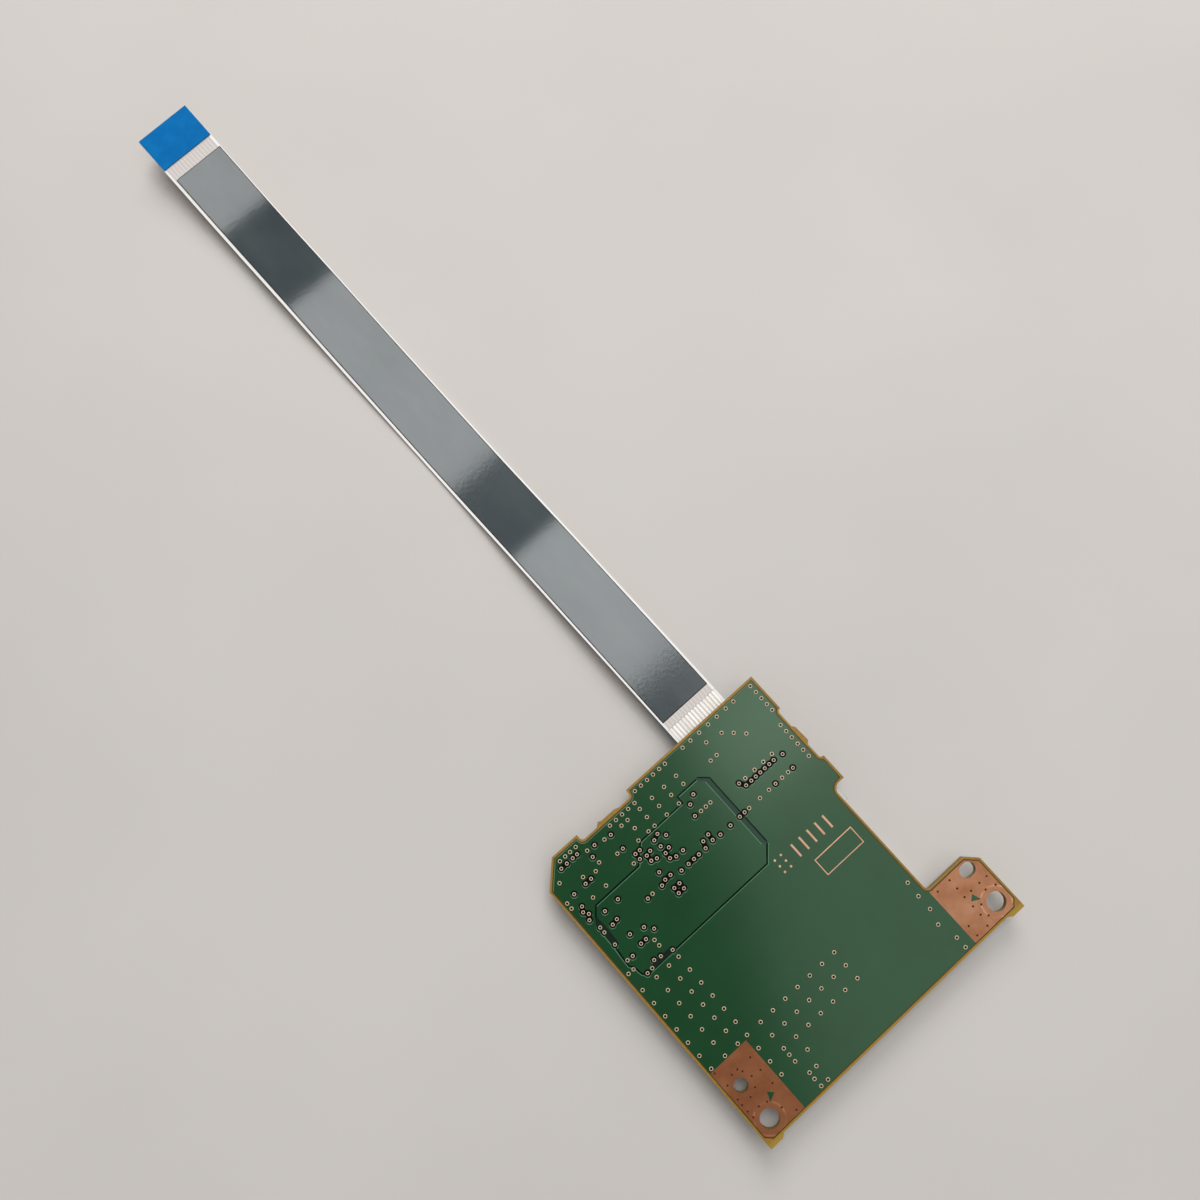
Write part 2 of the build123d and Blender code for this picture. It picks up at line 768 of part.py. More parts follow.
# ---- chips ---------------------------------------------------------------------------------------
def controller_terminals():
    low = mount_face - controller_terminal_thickness
    pads = [
        block(
            controller_x - controller_pad / 2,
            controller_x + controller_pad / 2,
            controller_y - controller_pad / 2,
            controller_y + controller_pad / 2,
            low,
            mount_face,
        )
    ]
    first = -(controller_terminals_per_side - 1) / 2 * controller_terminal_pitch
    edge = (controller_size - controller_terminal_length) / 2
    middle = low + controller_terminal_thickness / 2
    terminal = Pos(0, edge, middle) * Box(
        controller_terminal_width, controller_terminal_length, controller_terminal_thickness
    )
    for quarter in range(4):
        for i in range(controller_terminals_per_side):
            along = Pos(first + i * controller_terminal_pitch, 0, 0) * terminal
            pads.append((Pos(controller_x, controller_y, 0) * Rot(0, 0, 90 * quarter) * along).solid())
    return Compound(pads)


def controller_chip():
    height = controller_height - controller_standoff
    body = Pos(controller_x, controller_y, mount_face - controller_height + height / 2) * Box(
        controller_size, controller_size, height
    )
    inset = controller_size / 2 - 2 * pin_one_dimple
    dimple = Pos(controller_x - inset, controller_y + inset, mount_face - controller_height) * Cylinder(
        pin_one_dimple, 0.1
    )
    return body - dimple - controller_terminals()


def gull_package(x, y, length, width, height, upper_leads, lower_leads):
    # a moulded body on gull-wing leads, drawn with its leads towards the board
    # the leads are given as places along the body, in lead pitches
    middle = mount_face - height / 2
    board_half = extrude(Rectangle(length, width), amount=height / 2 - lead_standoff, taper=package_draft)
    outer_half = extrude(Rectangle(length, width), amount=-height / 2, taper=package_draft)
    body = Pos(x, y, middle) * (board_half + outer_half)
    foot = mount_face - lead_gauge / 2
    points = [
        (width / 2 - lead_gauge, middle),
        (width / 2 + lead_reach - lead_foot, middle),
        (width / 2 + lead_reach - lead_foot, foot),
        (width / 2 + lead_reach, foot),
    ]
    section = Plane(origin=(0, 0, 0), x_dir=(0, 1, 0), z_dir=(1, 0, 0))
    strip = section * bent_strip(points, lead_bend, lead_gauge, lead_width)
    leads = []
    for places, turn in ((upper_leads, 0), (lower_leads, 180)):
        for place in places:
            shift = Pos(place * lead_pitch, 0, 0)
            leads.append((Pos(x, y, 0) * Rot(0, 0, turn) * shift * strip).solid())
    leads = Compound(leads)
    return body - leads, leads


def power_switch_package():
    size = (switch_body_length, switch_body_width, switch_body_height)
    return gull_package(switch_body_x, switch_body_y, *size, (-1, 1), (-1, 0, 1))


def suppressor_package():
    size = (suppressor_length, suppressor_width, switch_body_height)
    return gull_package(suppressor_x, suppressor_y, *size, (-1, 0, 1), (-1, 0, 1))


# ---- chip capacitors, resistors and beads ----------------------------------------------------------
def chip_part(x, y, size, turn):
    # the ceramic body and its two plated ends
    length, width, height = size
    core = Box(length - 2 * chip_end, width - chip_end_skin, height - chip_end_skin)
    end = Box(chip_end, width, height)
    shift = (length - chip_end) / 2
    place = Pos(x, y, mount_face - height / 2) * Rot(0, 0, turn)
    return (place * core).solid(), [(place * Pos(side * shift, 0, 0) * end).solid() for side in (-1, 1)]


def capacitor_places():
    places = []
    # three beside and three behind the controller
    ring = controller_size / 2 + chip_gap + small_chip[0] / 2
    for step in (-1, 0, 1):
        places.append((controller_x - ring, controller_y + step * chip_pitch, small_chip, 0))
        places.append((controller_x + step * chip_pitch, controller_y + ring, small_chip, 90))
    # four behind the ribbon connector, and two large ones beside the power switch
    row_y = lock_rear - chip_gap - small_chip[0]
    for i in range(4):
        places.append((ribbon_centre_x + (i - 1.5) * chip_pitch, row_y, small_chip, 90))
    for x in (large_column_left, large_column_right):
        places.append((x, switch_body_y, large_chip, 90))
    return places


def resistor_places():
    size = (small_chip[0], small_chip[1], resistor_height)
    first = controller_x + controller_size / 2 + 2 * chip_gap
    places = [(first + i * chip_pitch, controller_y, size, 90) for i in range(6)]
    last = large_column_left - large_chip[1] / 2 - chip_gap
    for i in range(3):
        places.append((last - i * chip_pitch, switch_body_y - row_gap, size, 90))
    return places


def bead_places():
    columns = (large_column_left, large_column_right)
    return [(x, switch_body_y - row_gap, large_chip, 90) for x in columns]


def filter_place():
    return filter_x, lock_rear - chip_gap, (filter_length, filter_width, filter_height), 0


def chip_bodies(places):
    return Compound([chip_part(*place)[0] for place in places])


def chip_end_caps():
    ends = []
    for place in capacitor_places() + resistor_places() + bead_places() + [filter_place()]:
        ends += chip_part(*place)[1]
    return Compound(ends)


# ---- all the parts -------------------------------------------------------------------------------
power_switch, power_switch_leads = power_switch_package()
surge_suppressor, surge_suppressor_leads = suppressor_package()

parts = {
    "circuit_board": circuit_board(),
    "solder_mask": solder_mask(),
    "ground_lands": ground_lands(),
    "card_socket_base": card_socket_base(),
    "card_socket_shell": card_socket_shell(),
    "card_contacts": card_contacts(),
    "card_switch_contacts": card_switch_contacts(),
    "ribbon_connector_housing": ribbon_connector_housing(),
    "ribbon_connector_contacts": ribbon_connector_contacts(),
    "ribbon_connector_nails": ribbon_connector_nails(),
    "ribbon_connector_lock": ribbon_connector_lock(),
    "ribbon_insulation": ribbon_insulation(),
    "ribbon_conductors": ribbon_conductors(),
    "ribbon_tape": ribbon_tape(),
    "ribbon_board_stiffener": ribbon_board_stiffener(),
    "ribbon_far_stiffener": ribbon_far_stiffener(),
    "controller_chip": controller_chip(),
    "controller_terminals": controller_terminals(),
    "power_switch": power_switch,
    "power_switch_leads": power_switch_leads,
    "surge_suppressor": surge_suppressor,
    "surge_suppressor_leads": surge_suppressor_leads,
    "capacitors": chip_bodies(capacitor_places()),
    "resistors": chip_bodies(resistor_places()),
    "ferrite_beads": chip_bodies(bead_places()),
    "noise_filter": chip_bodies([filter_place()]),
    "chip_end_caps": chip_end_caps(),
}

os.makedirs("parts", exist_ok=True)
centre = Pos(-tab_reach / 2, -(board_length - foot_depth) / 2, 0)
for name, solid in parts.items():
    export_step(centre * solid, f"parts/{name}.step")

print("ribbon bend radii", [round(r) for r in ribbon_radii(ribbon_points())])
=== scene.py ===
import math
from itertools import combinations, groupby
import bmesh
import bpy
from mathutils import Matrix, Vector


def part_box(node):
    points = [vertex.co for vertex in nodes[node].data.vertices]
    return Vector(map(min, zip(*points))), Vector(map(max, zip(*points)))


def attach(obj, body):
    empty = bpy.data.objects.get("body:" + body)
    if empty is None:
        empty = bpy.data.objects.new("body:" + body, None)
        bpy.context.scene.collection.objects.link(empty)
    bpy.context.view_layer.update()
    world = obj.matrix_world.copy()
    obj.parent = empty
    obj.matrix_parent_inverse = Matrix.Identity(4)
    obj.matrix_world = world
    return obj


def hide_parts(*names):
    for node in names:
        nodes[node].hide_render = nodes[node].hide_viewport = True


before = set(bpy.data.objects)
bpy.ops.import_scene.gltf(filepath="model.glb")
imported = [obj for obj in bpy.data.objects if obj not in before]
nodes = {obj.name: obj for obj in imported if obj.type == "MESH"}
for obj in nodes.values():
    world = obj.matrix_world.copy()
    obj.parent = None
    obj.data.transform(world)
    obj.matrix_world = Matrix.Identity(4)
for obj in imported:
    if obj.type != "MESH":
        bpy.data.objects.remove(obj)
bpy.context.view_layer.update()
mm = 0.001
mergeReach = 1e-7              # corners of the frame's meshes nearer than this are one

# the board's own corner and faces, from the frame
boardLow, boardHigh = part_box("circuit_board")
maskLow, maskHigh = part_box("solder_mask")
footDepth = 0.42 * mm          # the feet stand below the board's lower edge
topFace = maskHigh.z
underFace = maskLow.z


def onBoard(x, y, z=0.0):
    # from millimetres off the board's lower left corner to a point in the frame
    return Vector((boardLow.x + x * mm, boardLow.y + footDepth + y * mm, z))


# the view
viewSettings = {
    "eye": (-0.0071, 0.02185, 0.1524),
    "aim": (0.0080, 0.0412, 0.0),
    "upward": (0.6594, 0.7349, 0.1586),
    "lens": 36.0,
    "sensor": 36.0,
    "nearest": 0.005,
}

bpy.context.scene.view_settings.view_transform = "Standard"
cameraData = bpy.data.cameras.new("view")
cameraData.lens = viewSettings["lens"]
cameraData.sensor_width = viewSettings["sensor"]
cameraData.clip_start = viewSettings["nearest"]
camera = bpy.data.objects.new("view", cameraData)
bpy.context.scene.collection.objects.link(camera)
eye, aim = Vector(viewSettings["eye"]), Vector(viewSettings["aim"])
backward = (eye - aim).normalized()
rightward = Vector(viewSettings["upward"]).cross(backward).normalized()
upright = backward.cross(rightward)
camera.matrix_world = Matrix.Translation(eye) @ Matrix((rightward, upright, backward)).transposed().to_4x4()
bpy.context.scene.camera = camera
print("view set")


# colours and nodes
def linear(hexText):
    # sRGB hex to the linear colour that shaders take
    channels = [int(hexText[i:i + 2], 16) / 255 for i in (1, 3, 5)]
    return tuple(c / 12.92 if c <= 0.04045 else ((c + 0.055) / 1.055) ** 2.4 for c in channels) + (1.0,)


def addNode(tree, kind, sockets=None, **settings):
    # a node with its settings, and its sockets set or linked
    node = tree.nodes.new(kind)
    for name, value in settings.items():
        setattr(node, name, value)
    for socket, value in (sockets or {}).items():
        if isinstance(value, bpy.types.NodeSocket):
            tree.links.new(value, node.inputs[socket])
        else:
            node.inputs[socket].default_value = value
    return node


def newMaterial(name, colour, roughness, metallic=0.0, gloss=0.5, tint=(1.0, 1.0, 1.0, 1.0)):
    # gloss is the level of the clear reflection and tint its colour
    material = bpy.data.materials.new(name)
    material.use_nodes = True
    shader = material.node_tree.nodes["Principled BSDF"]
    shader.inputs["Base Color"].default_value = linear(colour)
    shader.inputs["Roughness"].default_value = roughness
    shader.inputs["Metallic"].default_value = metallic
    shader.inputs["Specular IOR Level"].default_value = gloss
    shader.inputs["Specular Tint"].default_value = tint
    return material, material.node_tree, shader


def ownPlace(tree):
    # where a point lies on the piece itself
    return addNode(tree, "ShaderNodeTexCoord").outputs["Object"]


def ownAxis(tree, axis):
    # the same along one axis, 0 for X
    return addNode(tree, "ShaderNodeSeparateXYZ", {0: ownPlace(tree)}).outputs[axis]


def reckon(tree, operation, *values):
    return addNode(tree, "ShaderNodeMath", dict(enumerate(values)), operation=operation).outputs[0]


def grain(tree, size, detail=3.0, stretch=(1, 1, 1)):
    # noise on the piece itself, with blotches of about size millimetres
    spot = addNode(tree, "ShaderNodeMapping", {
        "Vector": ownPlace(tree), "Scale": tuple(s / (size * mm) for s in stretch),
    }).outputs["Vector"]
    return addNode(tree, "ShaderNodeTexNoise", {
        "Vector": spot, "Scale": 1.0, "Detail": detail,
    }).outputs["Fac"]


def distanceAcross(tree, centre):
    # how far a point of the piece is from a centre, measured across the board
    reach = ownPlace(tree)
    for operation, value in (("SUBTRACT", tuple(centre)), ("MULTIPLY", (1, 1, 0))):
        reach = addNode(tree, "ShaderNodeVectorMath", {0: reach, 1: value}, operation=operation).outputs[0]
    return addNode(tree, "ShaderNodeVectorMath", {0: reach}, operation="LENGTH").outputs["Value"]


blotches = (0.3, 0.7)          # between these values of the noise one colour turns into the other


def between(tree, value, low, high, smooth=False):
    # 0 at low and 1 at high
    return addNode(tree, "ShaderNodeMapRange", {
        "Value": value, "From Min": low, "From Max": high,
    }, interpolation_type="SMOOTHSTEP" if smooth else "LINEAR").outputs["Result"]


def mixColour(tree, share, first, second, **settings):
    # share 0 gives the first colour and 1 the second; each is a hex value or a socket
    first = linear(first) if isinstance(first, str) else first
    second = linear(second) if isinstance(second, str) else second
    return addNode(tree, "ShaderNodeMix", {0: share, 6: first, 7: second}, data_type="RGBA", **settings).outputs[2]


def paint(tree, shader, colour):
    tree.links.new(colour, shader.inputs["Base Color"])


def bumpy(tree, shader, height, depth):
    # relief of about depth millimetres
    bump = addNode(tree, "ShaderNodeBump", {"Height": height, "Strength": 1.0, "Distance": depth * mm})
    tree.links.new(bump.outputs["Normal"], shader.inputs["Normal"])


def mottled(name, dark, light, size, roughness, metallic=0.0, gloss=0.5):
    # two close colours in blotches of about size millimetres, for pieces too small for relief
    material, tree, shader = newMaterial(name, light, roughness, metallic, gloss)
    paint(tree, shader, mixColour(tree, grain(tree, size), dark, light))
    return material


# glass epoxy laminate, pressed and then routed to its outline: brown gold, with a faint weave of glass that makes
# it uneven, duller where it is cut and yellower at the feet
laminateSettings = {
    "face": "#9D7A2B", "deep": "#88661C", "cut": "#7E6426", "foot": "#A3812B",
    "weave": 0.9 * mm, "weaveRange": (-0.6, 1.4),
    # the feet's colour starts and is full at these heights over the board's lower edge, in millimetres
    "footRange": (0.35, -0.1),
    # how far a face has to look up or down to count as uncut
    "cutRange": (0.3, 0.7),
}
glassEpoxy, tree, shader = newMaterial("glassEpoxyLaminate", laminateSettings["face"], 0.45, gloss=0.3)
weave = [
    addNode(tree, "ShaderNodeTexWave", {"Vector": ownPlace(tree), "Scale": 1 / (laminateSettings["weave"] * 3.14)},
            wave_type="BANDS", bands_direction=direction).outputs["Fac"]
    for direction in ("X", "Y")
]
cloth = reckon(tree, "MULTIPLY", reckon(tree, "ADD", *weave), grain(tree, 1.6))
colour = mixColour(tree, between(tree, cloth, *laminateSettings["weaveRange"]),
                   laminateSettings["deep"], laminateSettings["face"])
footward = between(tree, ownAxis(tree, 1), *(onBoard(0, height).y for height in laminateSettings["footRange"]))
colour = mixColour(tree, footward, colour, laminateSettings["foot"])
facing = addNode(tree, "ShaderNodeTexCoord").outputs["Normal"]
upDown = reckon(tree, "ABSOLUTE", addNode(tree, "ShaderNodeSeparateXYZ", {0: facing}).outputs[2])
colour = mixColour(tree, between(tree, upDown, *laminateSettings["cutRange"]), laminateSettings["cut"], colour)
paint(tree, shader, colour)
bumpy(tree, shader, grain(tree, 0.12), 0.006)


# photo-imaged solder mask, a green lacquer over copper: semi-gloss, slightly uneven in thickness
def lacquer(name, thick, thin, roughness, **more):
    material, tree, shader = newMaterial(name, thick, roughness, **more)
    blotch = between(tree, grain(tree, 5.0, 2.0), 0.2, 0.8)
    paint(tree, shader, mixColour(tree, blotch, thick, thin))
    bumpy(tree, shader, grain(tree, 0.6), 0.0015)
    return material


maskLacquer = lacquer("solderMaskLacquer", "#0C3B1D", "#104323", 0.15, tint=(0.8, 1.0, 0.8, 1.0))
# the same lacquer in the narrow grooves, over bare laminate: dull, with no copper to shine through, and painted nearly
# black as the shade in the groove
grooveLacquerAndPaintedShade = lacquer("solderMaskOverLaminateAndPaintedShade", "#020604", "#040B07", 0.6, gloss=0.06)
# in the wide gap it lies level and keeps some of its gloss: slate green
slateLacquer = lacquer("solderMaskInWideGap", "#153424", "#1C3D2C", 0.3, gloss=0.25)
# in the small patches it is darker and duller again
patchLacquer = lacquer("solderMaskInPatch", "#091D13", "#0E2418", 0.4, gloss=0.1)
# where it climbs over an edge of the copper it catches the light: a painted highlight, as a thin pale green line
paintedHighlightLacquer = lacquer("solderMaskPaintedHighlight", "#427656", "#5B8E6B", 0.35)


# bare copper with an organic preservative coat: brown, matt, brighter where a screw head has rubbed
copperSettings = {
    "tarnish": "#99623F", "pink": "#B07E5E", "rubbed": "#D9A184",
    "screws": ((2.2, 2.2), (39.4, 2.2)),
    "headRadius": 1.9 * mm,
    "headBlend": 0.15 * mm,
    "headShare": 0.3,
    # how near the head's edge the rubbing starts and is full
    "rubRange": (0.16 * mm, 0.02 * mm),
    # the left land is painted browner and darker than the right one: painted shade for the weaker light on the board's
    # left
    "leftShadeTint": "#D6C0A8",
    "leftShadeRange": (5 * mm, -5 * mm),
    "roughRange": (-0.6, 1.7),
}
bareCopper, tree, shader = newMaterial("preservedCopper", copperSettings["tarnish"], 0.5, 0.6)
stain = between(tree, grain(tree, 2.4), 0.3, 0.75)
colour = mixColour(tree, stain, copperSettings["tarnish"], copperSettings["pink"])
for x, y in copperSettings["screws"]:
    away = distanceAcross(tree, onBoard(x, y))
    edge = reckon(tree, "ABSOLUTE", reckon(tree, "SUBTRACT", away, copperSettings["headRadius"]))
    rub = reckon(tree, "MULTIPLY", between(tree, edge, *copperSettings["rubRange"]),
                 between(tree, grain(tree, 0.9), 0.42, 0.66))
    inside = between(tree, away, copperSettings["headRadius"],
                     copperSettings["headRadius"] - copperSettings["headBlend"])
    inside = reckon(tree, "MULTIPLY", inside, copperSettings["headShare"])
    colour = mixColour(tree, inside, colour, copperSettings["pink"])
    colour = mixColour(tree, rub, colour, copperSettings["rubbed"])
# painted shade: the copper is darkened and browned towards the board's left
leftShade = between(tree, ownAxis(tree, 0), *copperSettings["leftShadeRange"])
colour = mixColour(tree, leftShade, colour, copperSettings["leftShadeTint"], blend_type="MULTIPLY")
paint(tree, shader, colour)
tree.links.new(between(tree, grain(tree, 0.5), *copperSettings["roughRange"]), shader.inputs["Roughness"])
bumpy(tree, shader, grain(tree, 0.2), 0.004)

# the drilled and plated holes, all in copper: the rim of a hole in a gap is bare, a pale pinkish ring
viaCopper = mottled("platedHoleRim", "#D8B595", "#EFD9C2", 0.4, 0.42, 0.1)
# the same rim where the lacquer runs thinly over it: tan, and glossy as the lacquer
coatedVia = mottled("lacqueredHoleRim", "#D8B98F", "#EED9B9", 0.4, 0.2)
# down in a hole hardly any light comes back: nearly black
viaDark = mottled("platedHoleDepth", "#070404", "#120B08", 0.3, 0.8, gloss=0.1)
# the lands' holes are shallow, so that the preserved copper in them still shows, darkened by painted shade to a deep
# red brown
landHoleDepth = mottled("landHoleDepth", "#33160D", "#482115", 0.3, 0.7, gloss=0.15)
# and their rims are a browner ring in the land's own copper
landHoleRim = mottled("landHoleRim", "#6A3822", "#8A5034", 0.4, 0.5, 0.5)
# copper marks under a thin lacquer: flat, pale and pinkish
markCopper = mottled("coatedCopperMark", "#C99473", "#E3B795", 0.8, 0.42, 0.3)


# moulded liquid crystal polymer, matt with fine flow marks along the mould
def mouldedResin(name, dark, light, roughness, spot=0.25, depth=0.006):
    material, tree, shader = newMaterial(name, dark, roughness)
    flow = between(tree, grain(tree, 1.4, stretch=(1, 4, 1)), *blotches)
    paint(tree, shader, mixColour(tree, flow, dark, light))
    bumpy(tree, shader, grain(tree, spot), depth)
    return material


blackResin = mouldedResin("blackMouldedPolymer", "#151517", "#242427", 0.5)
ivoryResin = mouldedResin("ivoryMouldedPolymer", "#CDBF9C", "#DACDAE", 0.5)
brownResin = mouldedResin("brownMouldedPolymer", "#2C1E16", "#3D2A1E", 0.45)
# moulded epoxy of the chips, with a sandy skin that scatters the light
chipResin = mouldedResin("sandyMouldedEpoxy", "#1B1B1C", "#2A2A2B", 0.62, 0.09, 0.012)


# metals, with streaks or crystals of about size millimetres
def metal(name, dark, light, roughness, size=0.8, stretch=(1, 1, 1), depth=0.003):
    material, tree, shader = newMaterial(name, light, roughness, 1.0)
    streak = between(tree, grain(tree, size, 4.0, stretch), *blotches)
    paint(tree, shader, mixColour(tree, streak, dark, light))
    bumpy(tree, shader, grain(tree, size * 0.4, 3.0, stretch), depth)
    return material


# cold rolled stainless strip: streaks along the rolling direction and a soft sheen
stainless = metal("rolledStainlessSteel", "#9C9C98", "#B2B2AE", 0.42, 0.22, (1, 0.05, 1), 0.001)
# gold flash over nickel on the contacts, even and bright
goldPlate = metal("goldFlashOverNickel", "#C9A45A", "#E3C583", 0.28, 0.6)
# matt tin, dull white with fine crystals
tinPlate = metal("mattTin", "#A9A8A2", "#CCCBC6", 0.42, 0.25)
# reflowed solder, brighter and smoother than the plating round it
solder = metal("reflowedSolder", "#B9BBBC", "#DADCDD", 0.3, 0.5, depth=0.004)
# tinned flat copper wire, rolled lengthwise: bright, with fine streaks along it
tinnedWire = metal("tinnedFlatWire", "#C2BFB9", "#DAD7D1", 0.5, 1.2, (1, 0.1, 1), 0.001)

# flat ribbon film of white polyester: semi-gloss, and the conductors show through as faint grey lines
filmSettings = {
    "white": "#D6CFCA", "line": "#BFB7B2", "edge": "#F2EFEC",
    "middle": 0.006975,
    "pitch": 0.5 * mm,
    # off a conductor's middle, in pitches: where its line ends and where it is full
    "lineRange": (0.34, 0.22),
    "lineShare": 0.5,
    # past the last conductor the film is clear white
    "edgeRange": (3.68 * mm, 3.72 * mm),
}
whiteFilm, tree, shader = newMaterial("whitePolyesterFilm", filmSettings["white"], 0.38, gloss=0.35)
aside = reckon(tree, "ABSOLUTE", reckon(tree, "SUBTRACT", ownAxis(tree, 0), filmSettings["middle"]))
turns = reckon(tree, "ADD", reckon(tree, "DIVIDE", aside, filmSettings["pitch"]), 0.5)
offset = reckon(tree, "ABSOLUTE", reckon(tree, "SUBTRACT", reckon(tree, "FRACT", turns), 0.5))
line = between(tree, offset, *filmSettings["lineRange"], smooth=True)
line = reckon(tree, "MULTIPLY", line, filmSettings["lineShare"])
colour = mixColour(tree, line, filmSettings["white"], filmSettings["line"])
colour = mixColour(tree, between(tree, aside, *filmSettings["edgeRange"]), colour, filmSettings["edge"])
paint(tree, shader, colour)
bumpy(tree, shader, grain(tree, 0.8), 0.003)

# dark shielding tape, a calendered film: nearly black itself, so that it shows what it reflects
darkTape, tree, shader = newMaterial("darkShieldTape", "#3C4346", 0.11, tint=(0.98, 1.0, 1.0, 1.0))
cloud = between(tree, grain(tree, 6.0, 3.0, (1, 0.4, 1)), *blotches)
paint(tree, shader, mixColour(tree, cloud, "#363E42", "#454E51"))
bumpy(tree, shader, reckon(tree, "ADD", grain(tree, 3.0, 2.0, (1, 0.25, 1)), grain(tree, 0.5)), 0.004)
# its cut and pressed-down edges are dull, and are painted nearly black: a thin line of painted shade along the tape
cutTapeAndShade = mottled("darkShieldTapeCutAndShade", "#090A0B", "#101214", 1.0, 0.7, gloss=0.1)

# blue polyester stiffener, laid on as a sheet: an even, nearly matt blue with faint streaks along it
blueFilm, tree, shader = newMaterial("bluePolyesterStiffener", "#0A6EB5", 0.4, gloss=0.03)
paint(tree, shader, mixColour(tree, between(tree, grain(tree, 1.5), *blotches), "#026AAE", "#0775BA"))
bumpy(tree, shader, grain(tree, 0.5, 2.0, (1, 0.1, 1)), 0.004)


# sintered ceramics, matt with fine speckle
def sintered(name, dark, light, roughness):
    material, tree, shader = newMaterial(name, dark, roughness)
    paint(tree, shader, mixColour(tree, between(tree, grain(tree, 0.12), *blotches), dark, light))
    bumpy(tree, shader, grain(tree, 0.1), 0.004)
    return material


capacitorCeramic = sintered("titanateCeramic", "#8B6B4B", "#A08060", 0.45)
ferrite = sintered("sinteredFerrite", "#2A2827", "#3B3836", 0.55)
# a resistor's fired glass coat is smoother, and gives a small sharp highlight
resistorGlaze = sintered("glazedResistorCoat", "#101012", "#1D1D20", 0.25)
print("materials made")

# finishes of the solids that are shown as they are
finishes = {
    "circuit_board": glassEpoxy,
    "solder_mask": maskLacquer,
    "ground_lands": bareCopper,
    "card_socket_base": blackResin,
    "card_socket_shell": stainless,
    "card_contacts": goldPlate,
    "card_switch_contacts": goldPlate,
    "ribbon_connector_housing": ivoryResin,
    "ribbon_connector_contacts": goldPlate,
    "ribbon_connector_nails": tinPlate,
    "ribbon_connector_lock": brownResin,
    "controller_chip": chipResin,
    "controller_terminals": tinPlate,
    "power_switch": chipResin,
    "power_switch_leads": tinPlate,
    "surge_suppressor": chipResin,
    "surge_suppressor_leads": tinPlate,
    "capacitors": capacitorCeramic,
    "resistors": resistorGlaze,
    "ferrite_beads": ferrite,
    "noise_filter": ferrite,
    "chip_end_caps": tinPlate,
}
for node, material in finishes.items():
    solid = nodes[node]
    if not solid.data.materials:
        solid.data.materials.append(material)
    for slot in solid.material_slots:
        slot.material = material


# the ribbon: its line first, as everything on it follows that
ribbonSettings = {
    "width": 8.0 * mm,
    "length": 110.0 * mm,
    "ways": 15,
    "curveSteps": 14,              # points on its line for each point of the route
    "conductorWidth": 0.3 * mm,
    "bareAtBoard": 4.85 * mm,
    "bareAtEnd": 4.4 * mm,
    "overlap": 0.1 * mm,           # how far a bare end reaches into the films
    "mouth": 2.4 * mm,             # from the tip to where the ribbon leaves its connector
    # heights off the ribbon's middle
    "inner": 0.02 * mm,            # half a conductor
    "outer": 0.10 * mm,            # a film's outer face
    "tapeLow": 0.112 * mm,
    "tapeHigh": 0.18 * mm,
    "stiffenerHigh": 0.28 * mm,
    "ridge": 0.012 * mm,           # the films stand up over each conductor
    "ridgeFoot": 0.2 * mm,         # half widths of that ridge
    "ridgeTop": 0.12 * mm,
    "tapeFrom": 5.9 * mm,
    "tapeTo": 103.2 * mm,
    "tapeWidth": 7.46 * mm,
    "tapeSkew": (-0.03 * mm, 0.14 * mm),    # the tape was laid on slightly out of line
    "tapeRoll": (0.10 * mm, 0.062 * mm),    # its cut edges are pressed down
    "cutFacing": 0.95,                      # a face that looks up less than this is a cut edge
    "boardStiffener": 7.0 * mm,
    "endStiffener": 5.1 * mm,
    "endStiffenerWidth": 7.92 * mm,
}
ribbonRoute = [
    (0.006975, 0.018135, 0.0024),
    (0.006975, 0.031885, 0.0024),
    (0.006975, 0.041135, 0.0019),
    (0.006975, 0.050135, 0.0017),
    (0.006975, 0.058135, 0.00085),
    (0.006975, 0.067135, 0.0002),
    (0.006975, 0.078135, 0.00045),
    (0.006975, 0.089135, 0.00075),
    (0.006975, 0.099135, 0.0017),
    (0.006975, 0.108135, 0.00155),
    (0.006975, 0.116135, 0.00235),
    (0.006975, 0.128135, 0.0041),
]


def splineLine(route):
    # the points of a smooth curve that has the route's points as its control points
    curve = bpy.data.curves.new("guide", "CURVE")
    curve.dimensions = "3D"
    curve.resolution_u = ribbonSettings["curveSteps"]
    spline = curve.splines.new("NURBS")
    spline.points.add(len(route) - 1)
    for point, place in zip(spline.points, route):
        point.co = (*place, 1.0)
    spline.order_u = 3
    spline.use_endpoint_u = True
    guide = bpy.data.objects.new("guide", curve)
    bpy.context.scene.collection.objects.link(guide)
    mesh = bpy.data.meshes.new_from_object(guide)
    line = [v.co.copy() for v in mesh.vertices]
    bpy.data.objects.remove(guide)
    bpy.data.meshes.remove(mesh)
    return line


ribbonLine = splineLine(ribbonRoute)
lineLengths = [0.0]
for a, b in zip(ribbonLine, ribbonLine[1:]):
    lineLengths.append(lineLengths[-1] + (b - a).length)


def placeAlong(distance):
    # point and upward normal at a distance along the ribbon's line
    distance = min(max(distance, 0.0), lineLengths[-1])
    i = 0
    while i < len(ribbonLine) - 2 and lineLengths[i + 1] < distance:
        i += 1
    share = (distance - lineLengths[i]) / (lineLengths[i + 1] - lineLengths[i])
    here = ribbonLine[i].lerp(ribbonLine[i + 1], share)
    slopes = []
    for j in (i, i + 1):
        before, after = ribbonLine[max(j - 1, 0)], ribbonLine[min(j + 1, len(ribbonLine) - 1)]
        slopes.append((after - before).normalized())
    tangent = slopes[0].lerp(slopes[1], share).normalized()
    return here, Vector((0.0, -tangent.z, tangent.y))


def soloSelect(piece):
    if bpy.context.mode != "OBJECT":
        bpy.ops.object.mode_set(mode="OBJECT")
    bpy.ops.object.select_all(action="DESELECT")
    piece.select_set(True)
    bpy.context.view_layer.objects.active = piece


def smoothShade(piece, degrees=30):
    soloSelect(piece)
    bpy.ops.object.shade_smooth_by_angle(angle=math.radians(degrees))


